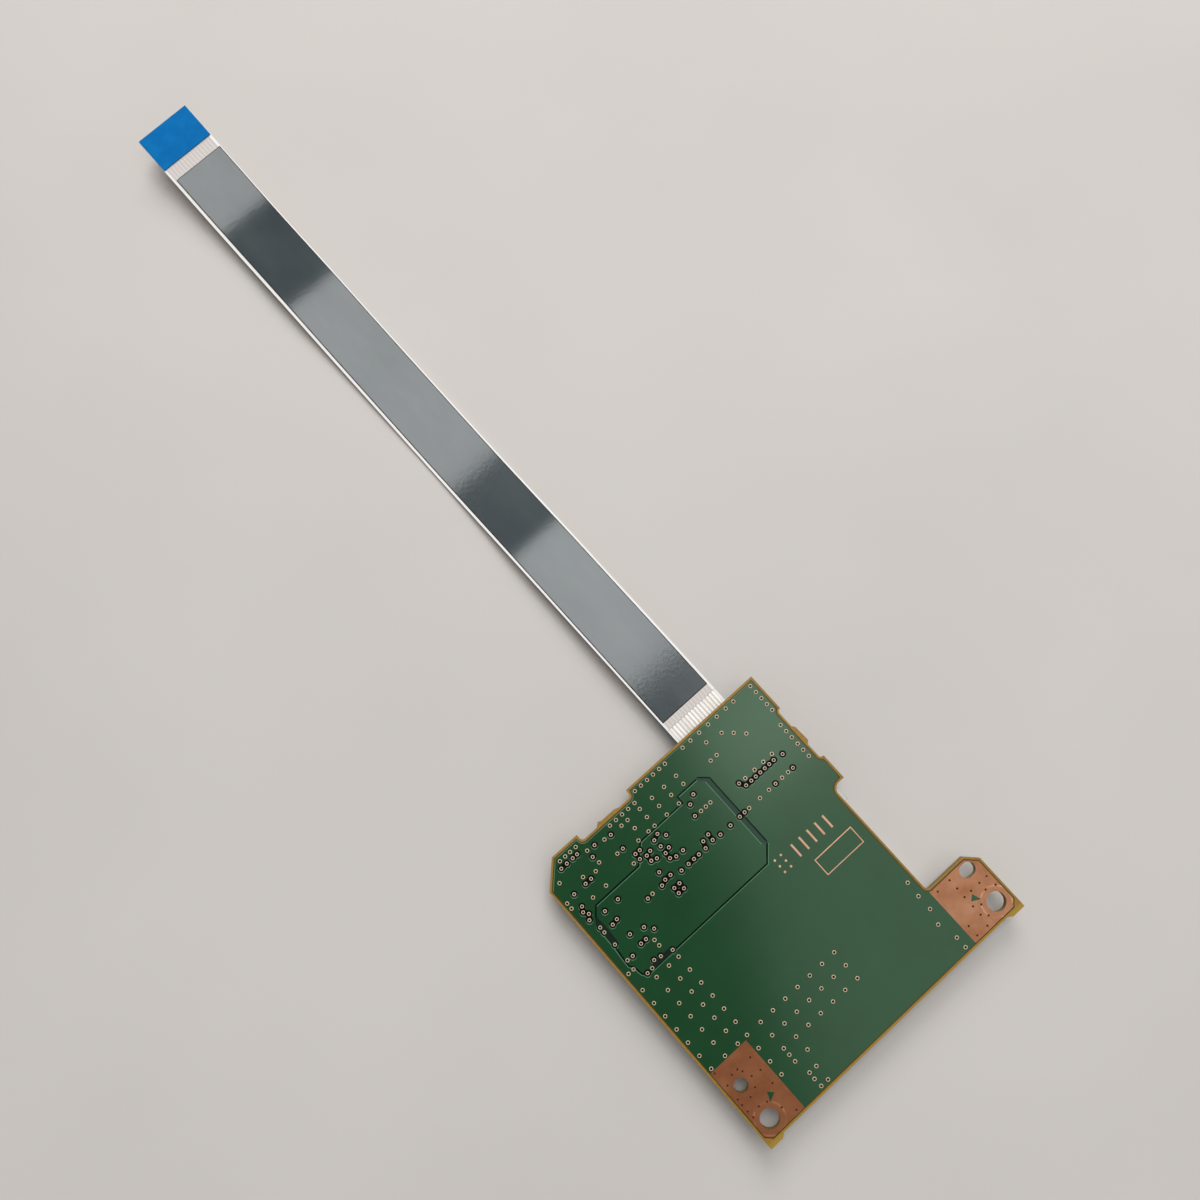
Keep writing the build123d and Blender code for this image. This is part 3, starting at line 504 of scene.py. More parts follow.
def layStrips(name, strips, material):
    # flat strips that follow the ribbon: each has its outline across, as (side, on the upper face, lift), and
    # stations along it, as (distance, lower face, upper face, shift sideways)
    mesh = bpy.data.meshes.new(name)
    work = bmesh.new()
    for outline, stations in strips:
        cuts = list(stations)
        for distance in lineLengths:
            for first, second in zip(stations, stations[1:]):
                if first[0] + ribbonSettings["overlap"] < distance < second[0] - ribbonSettings["overlap"]:
                    share = (distance - first[0]) / (second[0] - first[0])
                    cuts.append(tuple(p + share * (q - p) for p, q in zip(first, second)))
        cuts.sort(key=lambda cut: cut[0])
        rings = []
        for distance, low, high, shift in cuts:
            here, normal = placeAlong(distance)
            rings.append([
                work.verts.new(here + Vector((side + shift, 0, 0)) + normal * ((high if upper else low) + lift))
                for side, upper, lift in outline
            ])
        for first, second in zip(rings, rings[1:]):
            for j in range(len(first)):
                n = (j + 1) % len(first)
                work.faces.new((first[j], first[n], second[n], second[j]))
        work.faces.new(rings[0])
        work.faces.new(rings[-1])
    bmesh.ops.recalc_face_normals(work, faces=work.faces)
    work.to_mesh(mesh)
    work.free()
    piece = bpy.data.objects.new(name, mesh)
    bpy.context.scene.collection.objects.link(piece)
    piece.data.materials.append(material)
    smoothShade(piece)
    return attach(piece, "board")


def flatOutline(width, ridge=0.0):
    # across a strip, with a low ridge over each conductor where it is asked for
    r = ribbonSettings
    upper = [(-width / 2, True, 0.0)]
    for i in range(r["ways"] if ridge else 0):
        middle = (i - (r["ways"] - 1) / 2) * filmSettings["pitch"]
        for side, lift in ((-r["ridgeFoot"], 0.0), (-r["ridgeTop"], ridge), (r["ridgeTop"], ridge),
                           (r["ridgeFoot"], 0.0)):
            upper.append((middle + side, True, lift))
    upper.append((width / 2, True, 0.0))
    return upper + [(side, False, -lift) for side, _, lift in reversed(upper)]


def levelRun(start, stop, low, high, shift=0.0):
    # the stations of a strip that is as thick at its start as at its end
    return [(start, low, high, shift), (stop, low, high, shift)]


def makeRibbon():
    r = ribbonSettings
    inner, outer = r["inner"], r["outer"]
    length = lineLengths[-1]
    bareFrom = length - r["bareAtEnd"]
    plain = flatOutline(r["width"])
    film = layStrips("ribbonFilm", [
        (flatOutline(r["width"], r["ridge"]), levelRun(r["bareAtBoard"], bareFrom, -outer, outer)),
        (plain, levelRun(0.0, r["bareAtBoard"], -outer, -inner)),
        (plain, levelRun(bareFrom, length, inner, outer)),
    ], whiteFilm)
    ends = []
    for i in range(r["ways"]):
        middle = (i - (r["ways"] - 1) / 2) * filmSettings["pitch"]
        for start, stop in ((0.0, r["bareAtBoard"] + r["overlap"]), (bareFrom - r["overlap"], length)):
            ends.append((flatOutline(r["conductorWidth"]), levelRun(start, stop, -inner, inner, middle)))
    conductors = layStrips("ribbonConductorEnds", ends, tinnedWire)

    half, (roll, drop) = r["tapeWidth"] / 2, r["tapeRoll"]
    low, high = r["tapeLow"], r["tapeHigh"]
    (start, stop), (skewStart, skewStop) = (r["tapeFrom"], r["tapeTo"]), r["tapeSkew"]
    tape = layStrips("ribbonTape", [([
        (-half, True, -drop), (roll - half, True, 0.0), (half - roll, True, 0.0), (half, True, -drop),
        (half, False, 0.0), (-half, False, 0.0),
    ], [
        (start, low, high - drop, skewStart), (start + roll, low, high, skewStart),
        (stop - roll, low, high, skewStop), (stop, low, high - drop, skewStop),
    ])], darkTape)
    # the edge faces take that nearly black finish: painted shade along the tape's edges
    tape.data.materials.append(cutTapeAndShade)
    for face in tape.data.polygons:
        if abs(face.normal.z) < r["cutFacing"]:
            face.material_index = 1

    stiffBoard = layStrips("ribbonBoardStiffener", [
        (plain, levelRun(0.0, r["boardStiffener"], -r["stiffenerHigh"], -outer)),
    ], blueFilm)
    stiffEnd = layStrips("ribbonEndStiffener", [
        (flatOutline(r["endStiffenerWidth"]), levelRun(length - r["endStiffener"], length, outer, r["stiffenerHigh"])),
    ], blueFilm)
    for piece, node, slot in (
        (film, "ribbon_insulation", "white_film"),
        (conductors, "ribbon_conductors", "tin_plate"),
        (tape, "ribbon_tape", "dark_tape"),
        (stiffBoard, "ribbon_board_stiffener", "blue_film"),
        (stiffEnd, "ribbon_far_stiffener", "blue_film"),
    ):
        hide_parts(node)


makeRibbon()
print("ribbon laid")


# the board's plated holes: one of each kind is modelled and copied to its places
viaSettings = {
    "sides": 12,
    "bury": 0.004 * mm,
    # each step insets the face by the first value and lifts it by the second, in millimetres
    "openRadius": 0.25 * mm,
    "openSteps": [(0.025, 0.016), (0.053, 0.0), (0.012, -0.009)],
    "openHole": 0.172 * mm,
    "gapRadius": 0.45 * mm,
    "gapSteps": [(0.015, 0.018), (0.21, 0.0), (0.015, 0.010), (0.058, 0.0), (0.012, -0.009)],
    "gapFloor": 0.225 * mm,
    "gapHole": 0.153 * mm,
    "landRadius": 0.155 * mm,
    "landSteps": [(0.02, 0.007), (0.015, -0.003)],
    "landHole": 0.12 * mm,
    "shallowBury": 0.003 * mm,
    # a gap's nearer edge catches the light: its outline again, lower and a little nearer the eye
    "litWider": 0.012 * mm,
    "litSteps": [(0.015, 0.011)],
    "litShift": Vector((-0.046, -0.05, 0.0)) * mm,
    # gaps round holes closer than this many millimetres run together
    "linkReach": 0.92,
    "linkWidth": 0.7 * mm,
    "linkHeight": 0.013 * mm,
    "linkEdgeHeight": 0.006 * mm,
    # room between a hole on the under face and a part
    "clearance": 0.5 * mm,
}
# millimetres on the board: rows of one height, and columns of one place across
openRows = [(y, (0.8, 3.05, 5.05, 6.6)) for y in (22.85, 20.85, 18.85, 16.85, 14.85, 12.85)] + [
    (10.85, (0.85, 3.05, 5.1, 6.6, 8.8, 10.8, 12.8, 14.8, 16.8, 18.8, 20.8, 33.0)),
    (8.85, (6.6, 8.8, 10.8, 12.8, 14.8, 16.8, 18.8, 20.8, 32.85)),
    (6.85, (6.6, 8.8, 10.8, 12.8, 14.8, 16.8, 18.8, 20.8, 32.85)),
    (5.9, (8.8,)), (4.9, (6.6, 8.8, 10.8, 32.3)), (2.85, (9.2, 10.3)), (2.35, (32.9,)), (1.95, (9.15,)),
    (0.85, (9.2, 10.3, 32.9)),
    (40.67, (3.4, 4.25, 5.05, 5.95)), (39.8, (10.75, 11.75, 12.75, 13.75, 14.8)),
    (40.85, (15.8, 16.8, 17.8, 18.8, 19.8, 20.75, 23.7, 25.0, 26.45, 27.95, 29.4, 30.9, 32.2, 35.05)),
    (39.85, (35.05,)), (38.85, (35.05, 11.8, 12.8, 14.8, 16.8, 18.8, 20.8)), (37.85, (35.05,)),
    (36.9, (35.05, 30.7, 5.85)), (34.85, (34.55,)), (33.85, (34.55,)), (32.85, (34.55,)), (31.8, (34.55,)),
    (30.8, (34.55,)), (29.8, (34.55,)), (37.55, (12.8, 14.8, 16.8, 18.8, 20.8)),
    (36.15, (12.15, 13.8, 14.8, 16.8, 18.8)), (38.75, (1.65,)), (39.4, (6.7, 26.3)), (39.0, (9.15, 28.5)),
    (37.4, (6.85, 4.25, 25.2, 26.2)), (38.0, (29.6,)), (36.7, (9.2,)), (36.35, (0.75,)), (35.55, (0.75,)),
    (34.8, (3.55, 5.65)), (34.5, (9.9,)), (30.35, (9.2,)), (30.05, (24.8, 26.6, 28.1, 30.3, 31.3)),
    (33.7, (20.2, 21.0, 21.75)), (33.0, (26.9, 28.45, 29.9, 31.35)), (26.6, (1.75,)), (26.2, (5.75,)),
    (25.35, (0.8, 1.6, 5.75)), (23.95, (3.35,)),
]
gapRows = [
    (39.9, (2.95, 3.85, 4.8, 5.5)), (39.3, (7.8,)), (38.9, (10.1,)), (38.4, (6.7,)), (36.7, (10.1,)),
    (36.6, (2.1, 3.95, 4.85)), (35.8, (20.85,)), (35.2, (10.8, 11.5, 14.4)), (35.15, (19.75,)), (34.9, (1.85, 13.6)),
    (34.4, (10.8, 15.1)), (34.3, (1.5, 12.4)), (34.15, (11.7,)), (33.85, (13.7,)), (33.75, (19.25,)), (33.7, (1.9,)),
    (33.35, (11.7,)), (33.1, (1.45, 12.4, 14.35)), (33.05, (25.9,)), (32.85, (13.6,)), (32.65, (3.55, 5.65)),
    (32.3, (26.4, 27.25, 28.0, 28.75, 29.5, 30.25, 31.0)), (32.1, (32.3,)), (32.05, (13.6,)),
    (31.7, (11.5, 14.3, 15.4)), (31.6, (1.85,)), (31.05, (18.95,)), (31.0, (4.0,)), (30.85, (1.85, 3.2, 17.95)),
    (30.55, (11.45, 12.3)), (30.3, (8.4, 10.7)), (30.2, (18.9,)),
    (30.05, (13.65, 14.8, 15.7, 16.5, 17.6, 20.05, 21.7, 23.25, 24.05, 29.2, 32.1)), (29.1, (11.6, 12.45)),
    (28.95, (1.85,)), (28.65, (4.0,)), (28.3, (11.6, 12.45)), (28.15, (5.8,)), (27.2, (6.6,)), (26.95, (4.25, 5.05)),
    (26.55, (2.55,)), (24.5, (4.15,)), (24.3, (5.05,)), (23.9, (2.55, 6.6)),
]
landRows = [
    (10.2, (0.8,)), (8.75, (2.2, 3.1, 5.15)), (8.2, (1.0, 3.4)), (7.1, (3.85,)), (6.9, (5.1,)), (6.25, (0.85,)),
    (5.9, (3.3,)), (5.45, (0.8, 2.15)), (4.9, (5.15,)), (4.5, (0.8,)), (4.05, (2.15,)), (3.8, (3.25,)),
    (3.6, (0.85,)), (2.2, (4.1,)), (0.85, (5.2,)),
    (7.7, (34.95, 36.95)), (6.4, (36.95,)), (5.1, (36.9, 38.0, 39.4, 40.6)), (4.05, (39.4,)),
    (3.65, (36.9, 40.7)), (3.15, (37.8,)), (2.35, (34.9, 36.9)), (1.65, (37.55,)), (0.9, (34.9, 36.6)),
]


def spread(rows):
    return [(x, y) for y, columns in rows for x in columns]


def turnDisc(name, sides, radius, steps, bury):
    # a flat disc whose face is inset and lifted in steps, as rings of a turned shape
    bpy.ops.object.select_all(action="DESELECT")
    bpy.ops.mesh.primitive_circle_add(vertices=sides, radius=radius, fill_type="NGON", location=(0, 0, 0))
    disc = bpy.context.object
    disc.name = name
    bpy.ops.object.mode_set(mode="EDIT")
    bpy.ops.mesh.select_all(action="SELECT")
    bpy.ops.transform.translate(value=(0, 0, -bury))
    for inset, lift in steps:
        bpy.ops.mesh.inset(thickness=inset * mm)
        bpy.ops.transform.translate(value=(0, 0, lift * mm))
    bpy.ops.object.mode_set(mode="OBJECT")
    return disc


def finishByRadius(piece, rings):
    # rings: (radius up to which the material goes, material), the innermost first
    for _, material in rings:
        piece.data.materials.append(material)
    for face in piece.data.polygons:
        reach = max(Vector(piece.data.vertices[v].co[:2]).length for v in face.vertices)
        for index, (limit, _) in enumerate(rings):
            if reach <= limit:
                face.material_index = index
                break


def joinAll(name, pieces):
    bpy.ops.object.select_all(action="DESELECT")
    for piece in pieces:
        piece.select_set(True)
    bpy.context.view_layer.objects.active = pieces[0]
    if len(pieces) > 1:
        bpy.ops.object.join()
    joined = bpy.context.object
    joined.name = name
    joined.data.name = name
    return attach(joined, "board")


def copyTo(model, name, moves):
    # moved copies of a model, each with its own mesh, joined to one piece
    copies = []
    for move in moves:
        twin = model.copy()
        twin.data = model.data.copy()
        twin.data.transform(move)
        bpy.context.scene.collection.objects.link(twin)
        copies.append(twin)
    return joinAll(name, copies)


def solidBoxes(node):
    # the box of each separate solid in a node, from a merged copy of its mesh
    work = bmesh.new()
    work.from_mesh(nodes[node].data)
    bmesh.ops.remove_doubles(work, verts=work.verts, dist=mergeReach)
    unseen = dict.fromkeys(work.verts)
    boxes = []
    while unseen:
        front = [unseen.popitem()[0]]
        group = []
        while front:
            vert = front.pop()
            group.append(vert.co.copy())
            for edge in vert.link_edges:
                other = edge.other_vert(vert)
                if other in unseen:
                    del unseen[other]
                    front.append(other)
        boxes.append((Vector(min(c[i] for c in group) for i in range(3)),
                      Vector(max(c[i] for c in group) for i in range(3))))
    work.free()
    return boxes


underParts = [box for node in (
    "card_socket_base", "card_socket_shell", "ribbon_connector_housing", "ribbon_connector_nails", "controller_chip",
    "controller_terminals", "power_switch", "power_switch_leads", "surge_suppressor", "surge_suppressor_leads",
    "capacitors", "resistors", "ferrite_beads", "noise_filter", "chip_end_caps", "ribbon_connector_contacts",
    "card_contacts", "card_switch_contacts",
) for box in solidBoxes(node)]


def clearBelow(x, y):
    # whether a place on the under face is free of parts
    spot, room = onBoard(x, y), viaSettings["clearance"]
    return all(spot.x < low.x - room or spot.x > high.x + room or spot.y < low.y - room or spot.y > high.y + room
               for low, high in underParts)


def openVia():
    v = viaSettings
    via = turnDisc("openVia", v["sides"], v["openRadius"], v["openSteps"], v["bury"])
    finishByRadius(via, [(v["openHole"], viaDark), (math.inf, coatedVia)])
    return via


def gapVia():
    v = viaSettings
    lit = turnDisc("litEdge", v["sides"] * 2, v["gapRadius"] + v["litWider"], v["litSteps"], v["bury"])
    lit.data.materials.append(paintedHighlightLacquer)
    lit.data.transform(Matrix.Translation(v["litShift"]))
    via = turnDisc("gapVia", v["sides"] * 2, v["gapRadius"], v["gapSteps"], v["bury"])
    # the gap round the hole takes the nearly black lacquer: painted shade in the groove
    finishByRadius(via, [(v["gapHole"], viaDark), (v["gapFloor"], viaCopper), (math.inf, grooveLacquerAndPaintedShade)])
    lit.select_set(True)
    bpy.ops.object.join()
    return bpy.context.object


upsideDown = Matrix.Rotation(math.pi, 4, "X")
for name, makeVia, rows in (("viasOpen", openVia, openRows), ("viasInGaps", gapVia, gapRows)):
    via = makeVia()
    copyTo(via, name, [Matrix.Translation(onBoard(x, y, topFace)) for x, y in spread(rows)])
    copyTo(via, name + "Below", [
        Matrix.Translation(onBoard(x, y, underFace)) @ upsideDown for x, y in spread(rows) if clearBelow(x, y)
    ])
    bpy.data.objects.remove(via)

# where two of those gaps run together: a strip from one to the other, nearly black as painted shade, and its lit edge
links = [pair for pair in combinations(spread(gapRows), 2) if math.dist(*pair) < viaSettings["linkReach"]]
for name, height, shift, material in (
    ("linkedGaps", viaSettings["linkHeight"], Vector(), grooveLacquerAndPaintedShade),
    ("linkedGapEdges", viaSettings["linkEdgeHeight"], viaSettings["litShift"], paintedHighlightLacquer),
):
    bpy.ops.object.select_all(action="DESELECT")
    bpy.ops.mesh.primitive_cube_add(size=1, location=(0, 0, 0))
    strip = bpy.context.object
    strip.data.materials.append(material)
    moves = []
    for a, b in links:
        middle = (onBoard(*a, topFace) + onBoard(*b, topFace)) / 2 + shift
        middle.z += height / 2 - viaSettings["bury"] / 2
        turned = Matrix.Rotation(math.atan2(b[1] - a[1], b[0] - a[0]), 4, "Z")
        size = (math.dist(a, b) * mm, viaSettings["linkWidth"], height + viaSettings["bury"], 1.0)
        moves.append(Matrix.Translation(middle) @ turned @ Matrix.Diagonal(size))
    copyTo(strip, name, moves)
    bpy.data.objects.remove(strip)

hole = turnDisc("landHole", viaSettings["sides"], viaSettings["landRadius"], viaSettings["landSteps"],
                viaSettings["shallowBury"])
finishByRadius(hole, [(viaSettings["landHole"], landHoleDepth), (math.inf, landHoleRim)])
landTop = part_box("ground_lands")[1].z
copyTo(hole, "landHoles", [Matrix.Translation(onBoard(x, y, landTop)) for x, y in spread(landRows)])
bpy.data.objects.remove(hole)
print("plated holes placed")


# copper edges that show through the lacquer, drawn as curves and pressed flat
lineSettings = {
    "thin": 0.19 * mm, "light": 0.09 * mm,
    # heights over the lacquer
    "height": 0.012 * mm, "lightHeight": 0.008 * mm, "darkHeight": 0.016 * mm, "buried": 0.004 * mm,
}


def drawLine(name, points, width, material, height=lineSettings["height"], base=topFace, closed=False):
    # a flat ridge along points on the board, given in millimetres
    curve = bpy.data.curves.new(name, "CURVE")
    curve.dimensions = "3D"
    spline = curve.splines.new("POLY")
    spline.points.add(len(points) - 1)
    for point, (x, y) in zip(spline.points, points):
        point.co = (*onBoard(x, y), 1.0)
    spline.use_cyclic_u = closed
    curve.bevel_depth = width / 2
    curve.bevel_resolution = 1
    curve.use_fill_caps = True
    line = bpy.data.objects.new(name, curve)
    bpy.context.scene.collection.objects.link(line)
    soloSelect(line)
    bpy.ops.object.convert(target="MESH")
    line = bpy.context.object
    for vert in line.data.vertices:
        vert.co.z = base + vert.co.z * 2 * height / width
    line.data.materials.clear()
    line.data.materials.append(material)
    return line


def layPlate(name, outline, height, material):
    # a flat plate on the board's upper face, its outline in millimetres
    plate = bpy.data.objects.new(name, bpy.data.meshes.new(name))
    plate.data.from_pydata([onBoard(x, y, topFace + height) for x, y in outline], [], [range(len(outline))])
    bpy.context.scene.collection.objects.link(plate)
    soloSelect(plate)
    bpy.ops.object.mode_set(mode="EDIT")
    bpy.ops.mesh.select_all(action="SELECT")
    bpy.ops.mesh.extrude_region_move(TRANSFORM_OT_translate={"value": (0, 0, -height - lineSettings["buried"])})
    bpy.ops.mesh.select_all(action="SELECT")
    bpy.ops.mesh.normals_make_consistent(inside=False)
    bpy.ops.object.mode_set(mode="OBJECT")
    plate.data.materials.append(material)
    return plate


# the darker line in the bare margin, where the planes inside the board end: it follows the films' outlines
borderSettings = {
    "width": 0.32 * mm,
    "height": 0.005 * mm,
    "shortest": 12.0,              # outlines under this many millimetres are holes and have no such line
    # a face on top looks up more than this, and is no further below the highest place
    "flat": 0.9,
    "topReach": 0.005 * mm,
}
# seen through the laminate a plane's edge is a deep brown
planeEdge = mottled("laminateOverPlaneEdge", "#45350F", "#5C4715", 1.2, 0.5, gloss=0.25)


def outlineLoops(node):
    # the outlines of a film's upper face, as loops of places on the board in millimetres
    work = bmesh.new()
    work.from_mesh(nodes[node].data)
    bmesh.ops.remove_doubles(work, verts=work.verts, dist=mergeReach)
    top = max(v.co.z for v in work.verts)
    spare = [f for f in work.faces if f.normal.z < borderSettings["flat"]
             or abs(f.calc_center_median().z - top) > borderSettings["topReach"]]
    bmesh.ops.delete(work, geom=spare, context="FACES")
    edges = dict.fromkeys(edge for edge in work.edges if edge.is_boundary)
    corner = onBoard(0, 0)
    loops = []
    while edges:
        start, vert = edges.popitem()[0].verts
        loop = [start, vert]
        while vert is not start:
            edge = next(e for e in vert.link_edges if e in edges)
            del edges[edge]
            vert = edge.other_vert(vert)
            loop.append(vert)
        spots = [tuple((v.co - corner).xy / mm) for v in loop[:-1]]
        # each loop starts at its lowest place
        first = spots.index(min(spots, key=lambda spot: (spot[1], spot[0])))
        loops.append(spots[first:] + spots[:first])
    work.free()
    return loops


borders = []
for node in ("solder_mask", "ground_lands"):
    for loop in outlineLoops(node):
        if sum(math.dist(a, b) for a, b in zip(loop, loop[1:])) > borderSettings["shortest"]:
            borders.append(drawLine("border", loop, borderSettings["width"], planeEdge, borderSettings["height"],
                                    boardHigh.z, closed=True))
joinAll("planeEdgeLine", borders)

# along the board's top edge the lacquer's own edge catches the light
ridgeSettings = {"above": 38.4, "inset": 0.06, "width": 0.08 * mm, "height": 0.006 * mm}
ridges = [
    [(x, y - ridgeSettings["inset"]) for x, y in run]
    for high, run in groupby(max(outlineLoops("solder_mask"), key=len), lambda spot: spot[1] > ridgeSettings["above"])
    if high
]
joinAll("lacquerEdge", [
    drawLine("ridge", run, ridgeSettings["width"], paintedHighlightLacquer, ridgeSettings["height"])
    for run in ridges if len(run) > 2
])

# the gap in the copper plane round the controller, thin on three sides and wide on the fourth
planeGap = [
    (23.2, 36.05), (22.5, 36.9), (19.2, 36.9), (19.2, 35.9), (12.2, 35.9), (11.9, 35.6), (10.1, 33.9), (3.2, 33.9),
    (2.35, 32.95), (1.75, 32.0), (1.7, 28.75), (1.5, 27.0), (1.45, 25.95), (1.85, 25.4), (2.0, 24.3), (2.4, 23.75),
    (21.9, 23.75), (23.6, 25.6),
]
wideGap = [
    (22.35, 36.98), (22.62, 36.98), (23.74, 35.95), (23.74, 25.75), (23.5, 25.5), (23.1, 25.95), (23.1, 35.75),
    (22.3, 36.75),
]
widePatches = [
    [(2.35, 32.95), (1.65, 31.95), (1.6, 28.85), (2.0, 28.5), (2.38, 29.2), (2.45, 31.5)],
    [(3.6, 24.3), (3.6, 23.62), (7.0, 23.62), (7.1, 23.9), (6.4, 24.35), (5.2, 24.42)],
]
# its lit edges, beside the gap
litEdges = [
    [(1.52, 31.95), (1.48, 28.8), (1.33, 27.0), (1.28, 25.9), (1.68, 25.3), (1.84, 24.2), (2.3, 23.58),
     (21.98, 23.58), (23.75, 25.45)],
    [(22.97, 25.9), (22.97, 35.9), (22.4, 36.72), (19.35, 36.72)],
    [(19.03, 35.74), (12.3, 35.74), (10.2, 33.72), (3.2, 33.72)],
]
# and the shaded far side of its wide part
shadedEdge = [(22.55, 36.98), (23.68, 35.95), (23.68, 25.7)]
# the thin gap is a nearly black strip: painted shade in the groove
joinAll("planeGapLines", [drawLine("planeGap", planeGap, lineSettings["thin"], grooveLacquerAndPaintedShade)])
joinAll("planeGapWide", [layPlate("wide", wideGap, lineSettings["height"], slateLacquer)] +
        [layPlate("patch", patch, lineSettings["darkHeight"], patchLacquer) for patch in widePatches])
joinAll("planeGapEdges", [
    drawLine("lit", edge, lineSettings["light"], paintedHighlightLacquer, lineSettings["lightHeight"]) for edge in litEdges
])
joinAll("planeGapShade", [
    drawLine("shade", shadedEdge, lineSettings["thin"], grooveLacquerAndPaintedShade, lineSettings["darkHeight"]),
])

# generic copper marks: six test dots, five bars and an empty frame
markSettings = {
    "dotRadius": 0.16 * mm, "dotSteps": [(0.03, 0.016)], "dotX": (22.85, 23.85), "dotY": (21.6, 22.5, 23.4),
    "barWidth": 0.3 * mm, "barX": (25.6, 26.9, 28.2, 29.5, 30.8), "barY": (21.65, 23.5),
    "frameWidth": 0.2 * mm, "frame": [(26.5, 17.9), (32.4, 17.9), (32.4, 20.2), (26.5, 20.2)],
}
dot = turnDisc("dot", viaSettings["sides"], markSettings["dotRadius"], markSettings["dotSteps"],
               viaSettings["shallowBury"])
dot.data.materials.append(markCopper)
copyTo(dot, "testDots", [
    Matrix.Translation(onBoard(x, y, topFace)) for x in markSettings["dotX"] for y in markSettings["dotY"]
])
bpy.data.objects.remove(dot)
marks = [
    drawLine("bar", [(x, y) for y in markSettings["barY"]], markSettings["barWidth"], markCopper)
    for x in markSettings["barX"]
]
marks.append(drawLine("frame", markSettings["frame"], markSettings["frameWidth"], markCopper, closed=True))
joinAll("copperMarks", marks)

# reflowed solder at the parts' feet: a hollow slope from each pad up the foot, shut off towards the body
filletSettings = {
    "steps": 4,
    "under": 0.6,                  # how much of its length is under the foot's end
    "flare": 0.16,                 # how much wider it is at the board
    "rounding": 0.1,               # how far its outer corners are drawn in
    "bury": 0.004 * mm,
    "footReach": 0.3 * mm,         # a foot's top is no further from the board than this
    # share of the foot that is covered, and height, for the chips' end caps and for bent leads
    "cap": (0.95, 0.2 * mm),
    "lead": (0.4, 0.09 * mm),
}


def soldered(name, feet, bodies, share, climb):
    # feet and bodies are nodes; a foot's outer side is the one away from the nearest body
    f = filletSettings
    bpy.ops.object.select_all(action="DESELECT")
    bpy.ops.mesh.primitive_cube_add(size=1, location=(0, 0, 0))
    fillet = bpy.context.object
    bpy.ops.object.mode_set(mode="EDIT")
    bpy.ops.mesh.subdivide(number_cuts=f["steps"])
    bpy.ops.object.mode_set(mode="OBJECT")
    # the unit piece has its inner side at x 0, its outer side at x 1, the board at z 0 and its top at z -1
    for vert in fillet.data.vertices:
        rise = 0.5 - vert.co.z
        slope = (1 - rise) ** 2
        drawnIn = 1 - f["rounding"] * max(0.0, vert.co.x) * (2 * vert.co.y) ** 2
        vert.co = ((vert.co.x + 0.5) * (f["under"] + (1 - f["under"]) * slope) * drawnIn,
                   vert.co.y * (1 + f["flare"] * slope), -rise)
    fillet.data.materials.append(solder)
    middles = [(low + high) / 2 for body in bodies for low, high in solidBoxes(body)]
    moves = []
    for node in feet:
        for low, high in solidBoxes(node):
            if abs(high.z - underFace) > f["footReach"]:
                continue
            middle = (low + high) / 2
            body = min(middles, key=lambda spot: (spot.xy - middle.xy).length)
            away = middle.xy - body.xy
            if abs(away.x) < abs(away.y):
                reach, wide, step = high.y - low.y, high.x - low.x, Vector((0, math.copysign(1, away.y), 0))
            else:
                reach, wide, step = high.x - low.x, high.y - low.y, Vector((math.copysign(1, away.x), 0, 0))
            start = Vector((middle.x, middle.y, underFace + f["bury"])) + step * (reach / 2 - share * reach)
            turned = Matrix.Rotation(math.atan2(step.y, step.x), 4, "Z")
            size = (share * reach / f["under"], wide, climb, 1.0)
            moves.append(Matrix.Translation(start) @ turned @ Matrix.Diagonal(size))
    joined = copyTo(fillet, name, moves)
    bpy.data.objects.remove(fillet)
    smoothShade(joined)


soldered("chipFillets", ("chip_end_caps",), ("capacitors", "resistors", "ferrite_beads", "noise_filter"),
         *filletSettings["cap"])
soldered("leadFillets", ("power_switch_leads", "surge_suppressor_leads"), ("power_switch", "surge_suppressor"),
         *filletSettings["lead"])
print("board dressed")


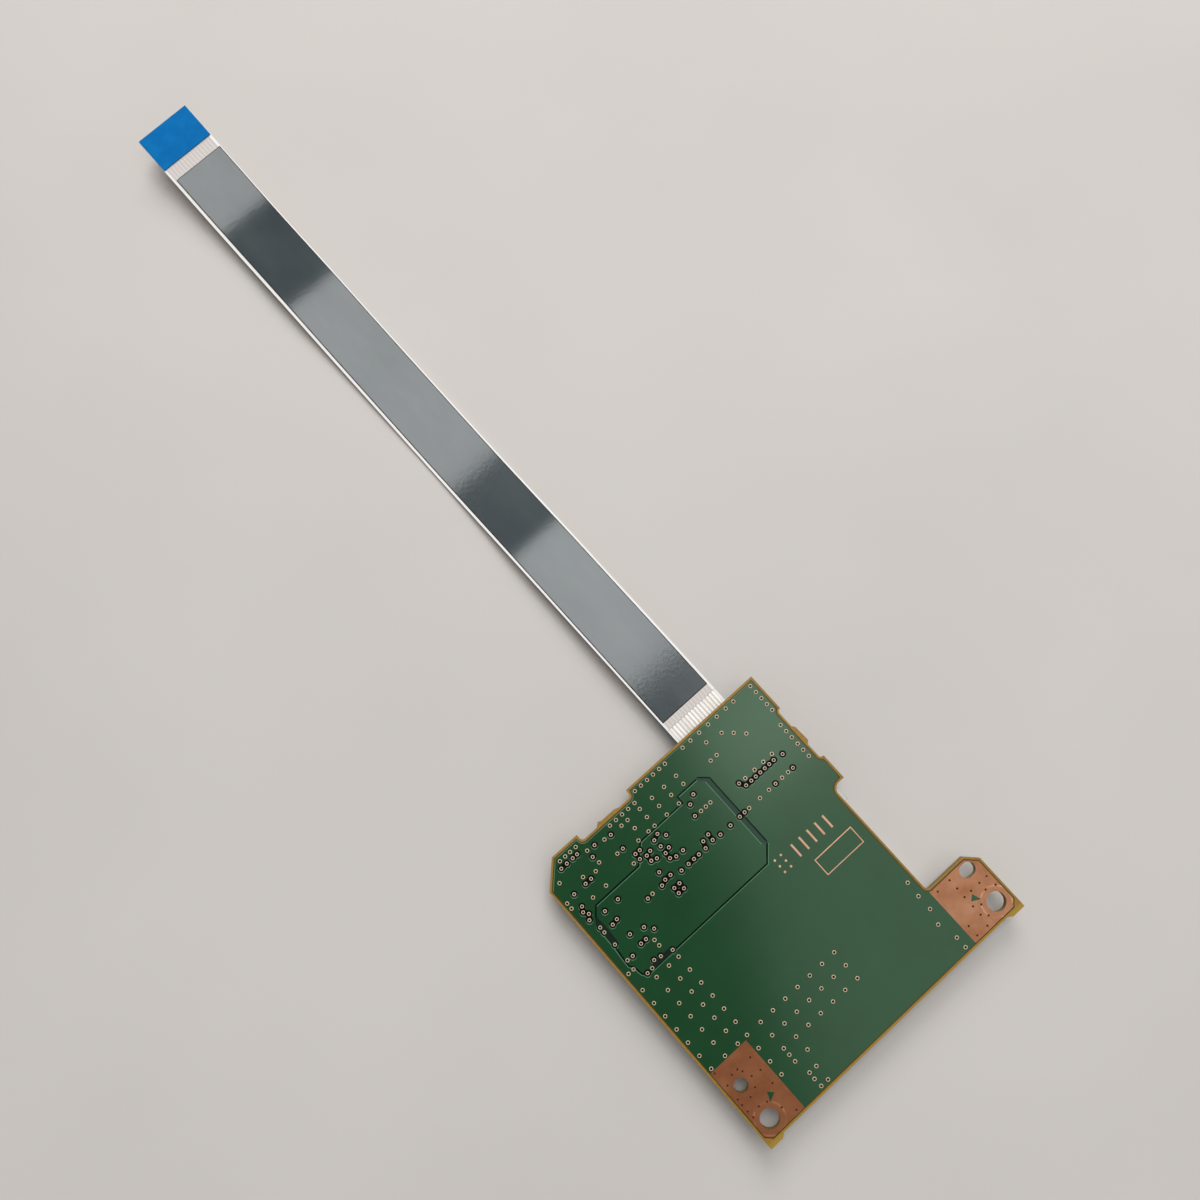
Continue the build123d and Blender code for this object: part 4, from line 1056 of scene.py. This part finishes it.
# a pale desk top that curves up far behind, and soft studio light: a high panel and a sheen panel that the lacquer
# and the tape reflect, a small one for the board's top right corner, and a near one that draws the shadow
stageSettings = {
    "floorDark": "#CDC8C3", "floorLight": "#D2CDC8",
    "floorRadius": 1.3,
    "floorSides": 96,
    "floorSmooth": 60,
    "blotch": 60.0,                # in millimetres
    # the backdrop's profile: how far each step rises, and how much wider it gets
    "backdrop": ((0.02, 1.06), (0.05, 1.05), (0.09, 1.04), (0.13, 1.025), (0.3, 1.01)),
    "drop": 0.00005,
    "world": "#FFFFFF",
    "worldLevel": 0.22,
    # place, size, power in watts, turn in degrees; one without a turn faces the spot below
    "panels": {
        "highPanel": ((0.58, 0.515, 2.0), (1.37, 0.65), 16.9, 0.0),
        "sheenPanel": ((0.294, -0.246, 0.95), (0.60, 0.54), 1.27, -24.4),
        "cornerPanel": ((0.245, -0.022, 0.93), (0.34, 0.096), 0.21, 0.0),
        "nearPanel": ((0.31, 0.39, 0.44), (0.35, 0.35), 1.95, None),
    },
    "litSpot": (0.0, 0.03, 0.0),
}


def areaLight(name, place, size, power, turn):
    # a panel that faces straight down, or the lit spot where turn is None
    data = bpy.data.lights.new(name, "AREA")
    data.shape = "RECTANGLE"
    data.size, data.size_y = size
    data.energy = power
    lamp = bpy.data.objects.new(name, data)
    bpy.context.scene.collection.objects.link(lamp)
    if turn is None:
        away = Vector(place) - Vector(stageSettings["litSpot"])
        aimed = away.to_track_quat("Z", "Y").to_matrix().to_4x4()
    else:
        aimed = Matrix.Rotation(math.radians(turn), 4, "Z")
    lamp.matrix_world = Matrix.Translation(place) @ aimed


# a laminated desk top, matt and very slightly cloudy
floorMaterial, tree, shader = newMaterial("laminatedDeskTop", stageSettings["floorLight"], 0.7)
cloud = between(tree, grain(tree, stageSettings["blotch"]), 0.35, 0.65)
paint(tree, shader, mixColour(tree, cloud, stageSettings["floorDark"], stageSettings["floorLight"]))
bpy.ops.object.select_all(action="DESELECT")
bpy.ops.mesh.primitive_circle_add(vertices=stageSettings["floorSides"], radius=stageSettings["floorRadius"],
                                  fill_type="NGON", location=(0, 0, -stageSettings["drop"]))
floor = bpy.context.object
floor.name = "floor"
bpy.ops.object.mode_set(mode="EDIT")
bpy.ops.mesh.select_mode(type="EDGE")
bpy.ops.mesh.select_all(action="SELECT")
for rise, wider in stageSettings["backdrop"]:
    bpy.ops.mesh.extrude_edges_move(TRANSFORM_OT_translate={"value": (0, 0, rise)})
    bpy.ops.transform.resize(value=(wider, wider, 1.0))
bpy.ops.mesh.select_mode(type="VERT")
bpy.ops.object.mode_set(mode="OBJECT")
smoothShade(floor, stageSettings["floorSmooth"])
floor.data.materials.append(floorMaterial)

world = bpy.data.worlds.new("studio")
bpy.context.scene.world = world
world.use_nodes = True
background = world.node_tree.nodes["Background"]
background.inputs["Color"].default_value = linear(stageSettings["world"])
background.inputs["Strength"].default_value = stageSettings["worldLevel"]
for name, (place, size, power, turn) in stageSettings["panels"].items():
    areaLight(name, place, size, power, turn)
print("stage set")
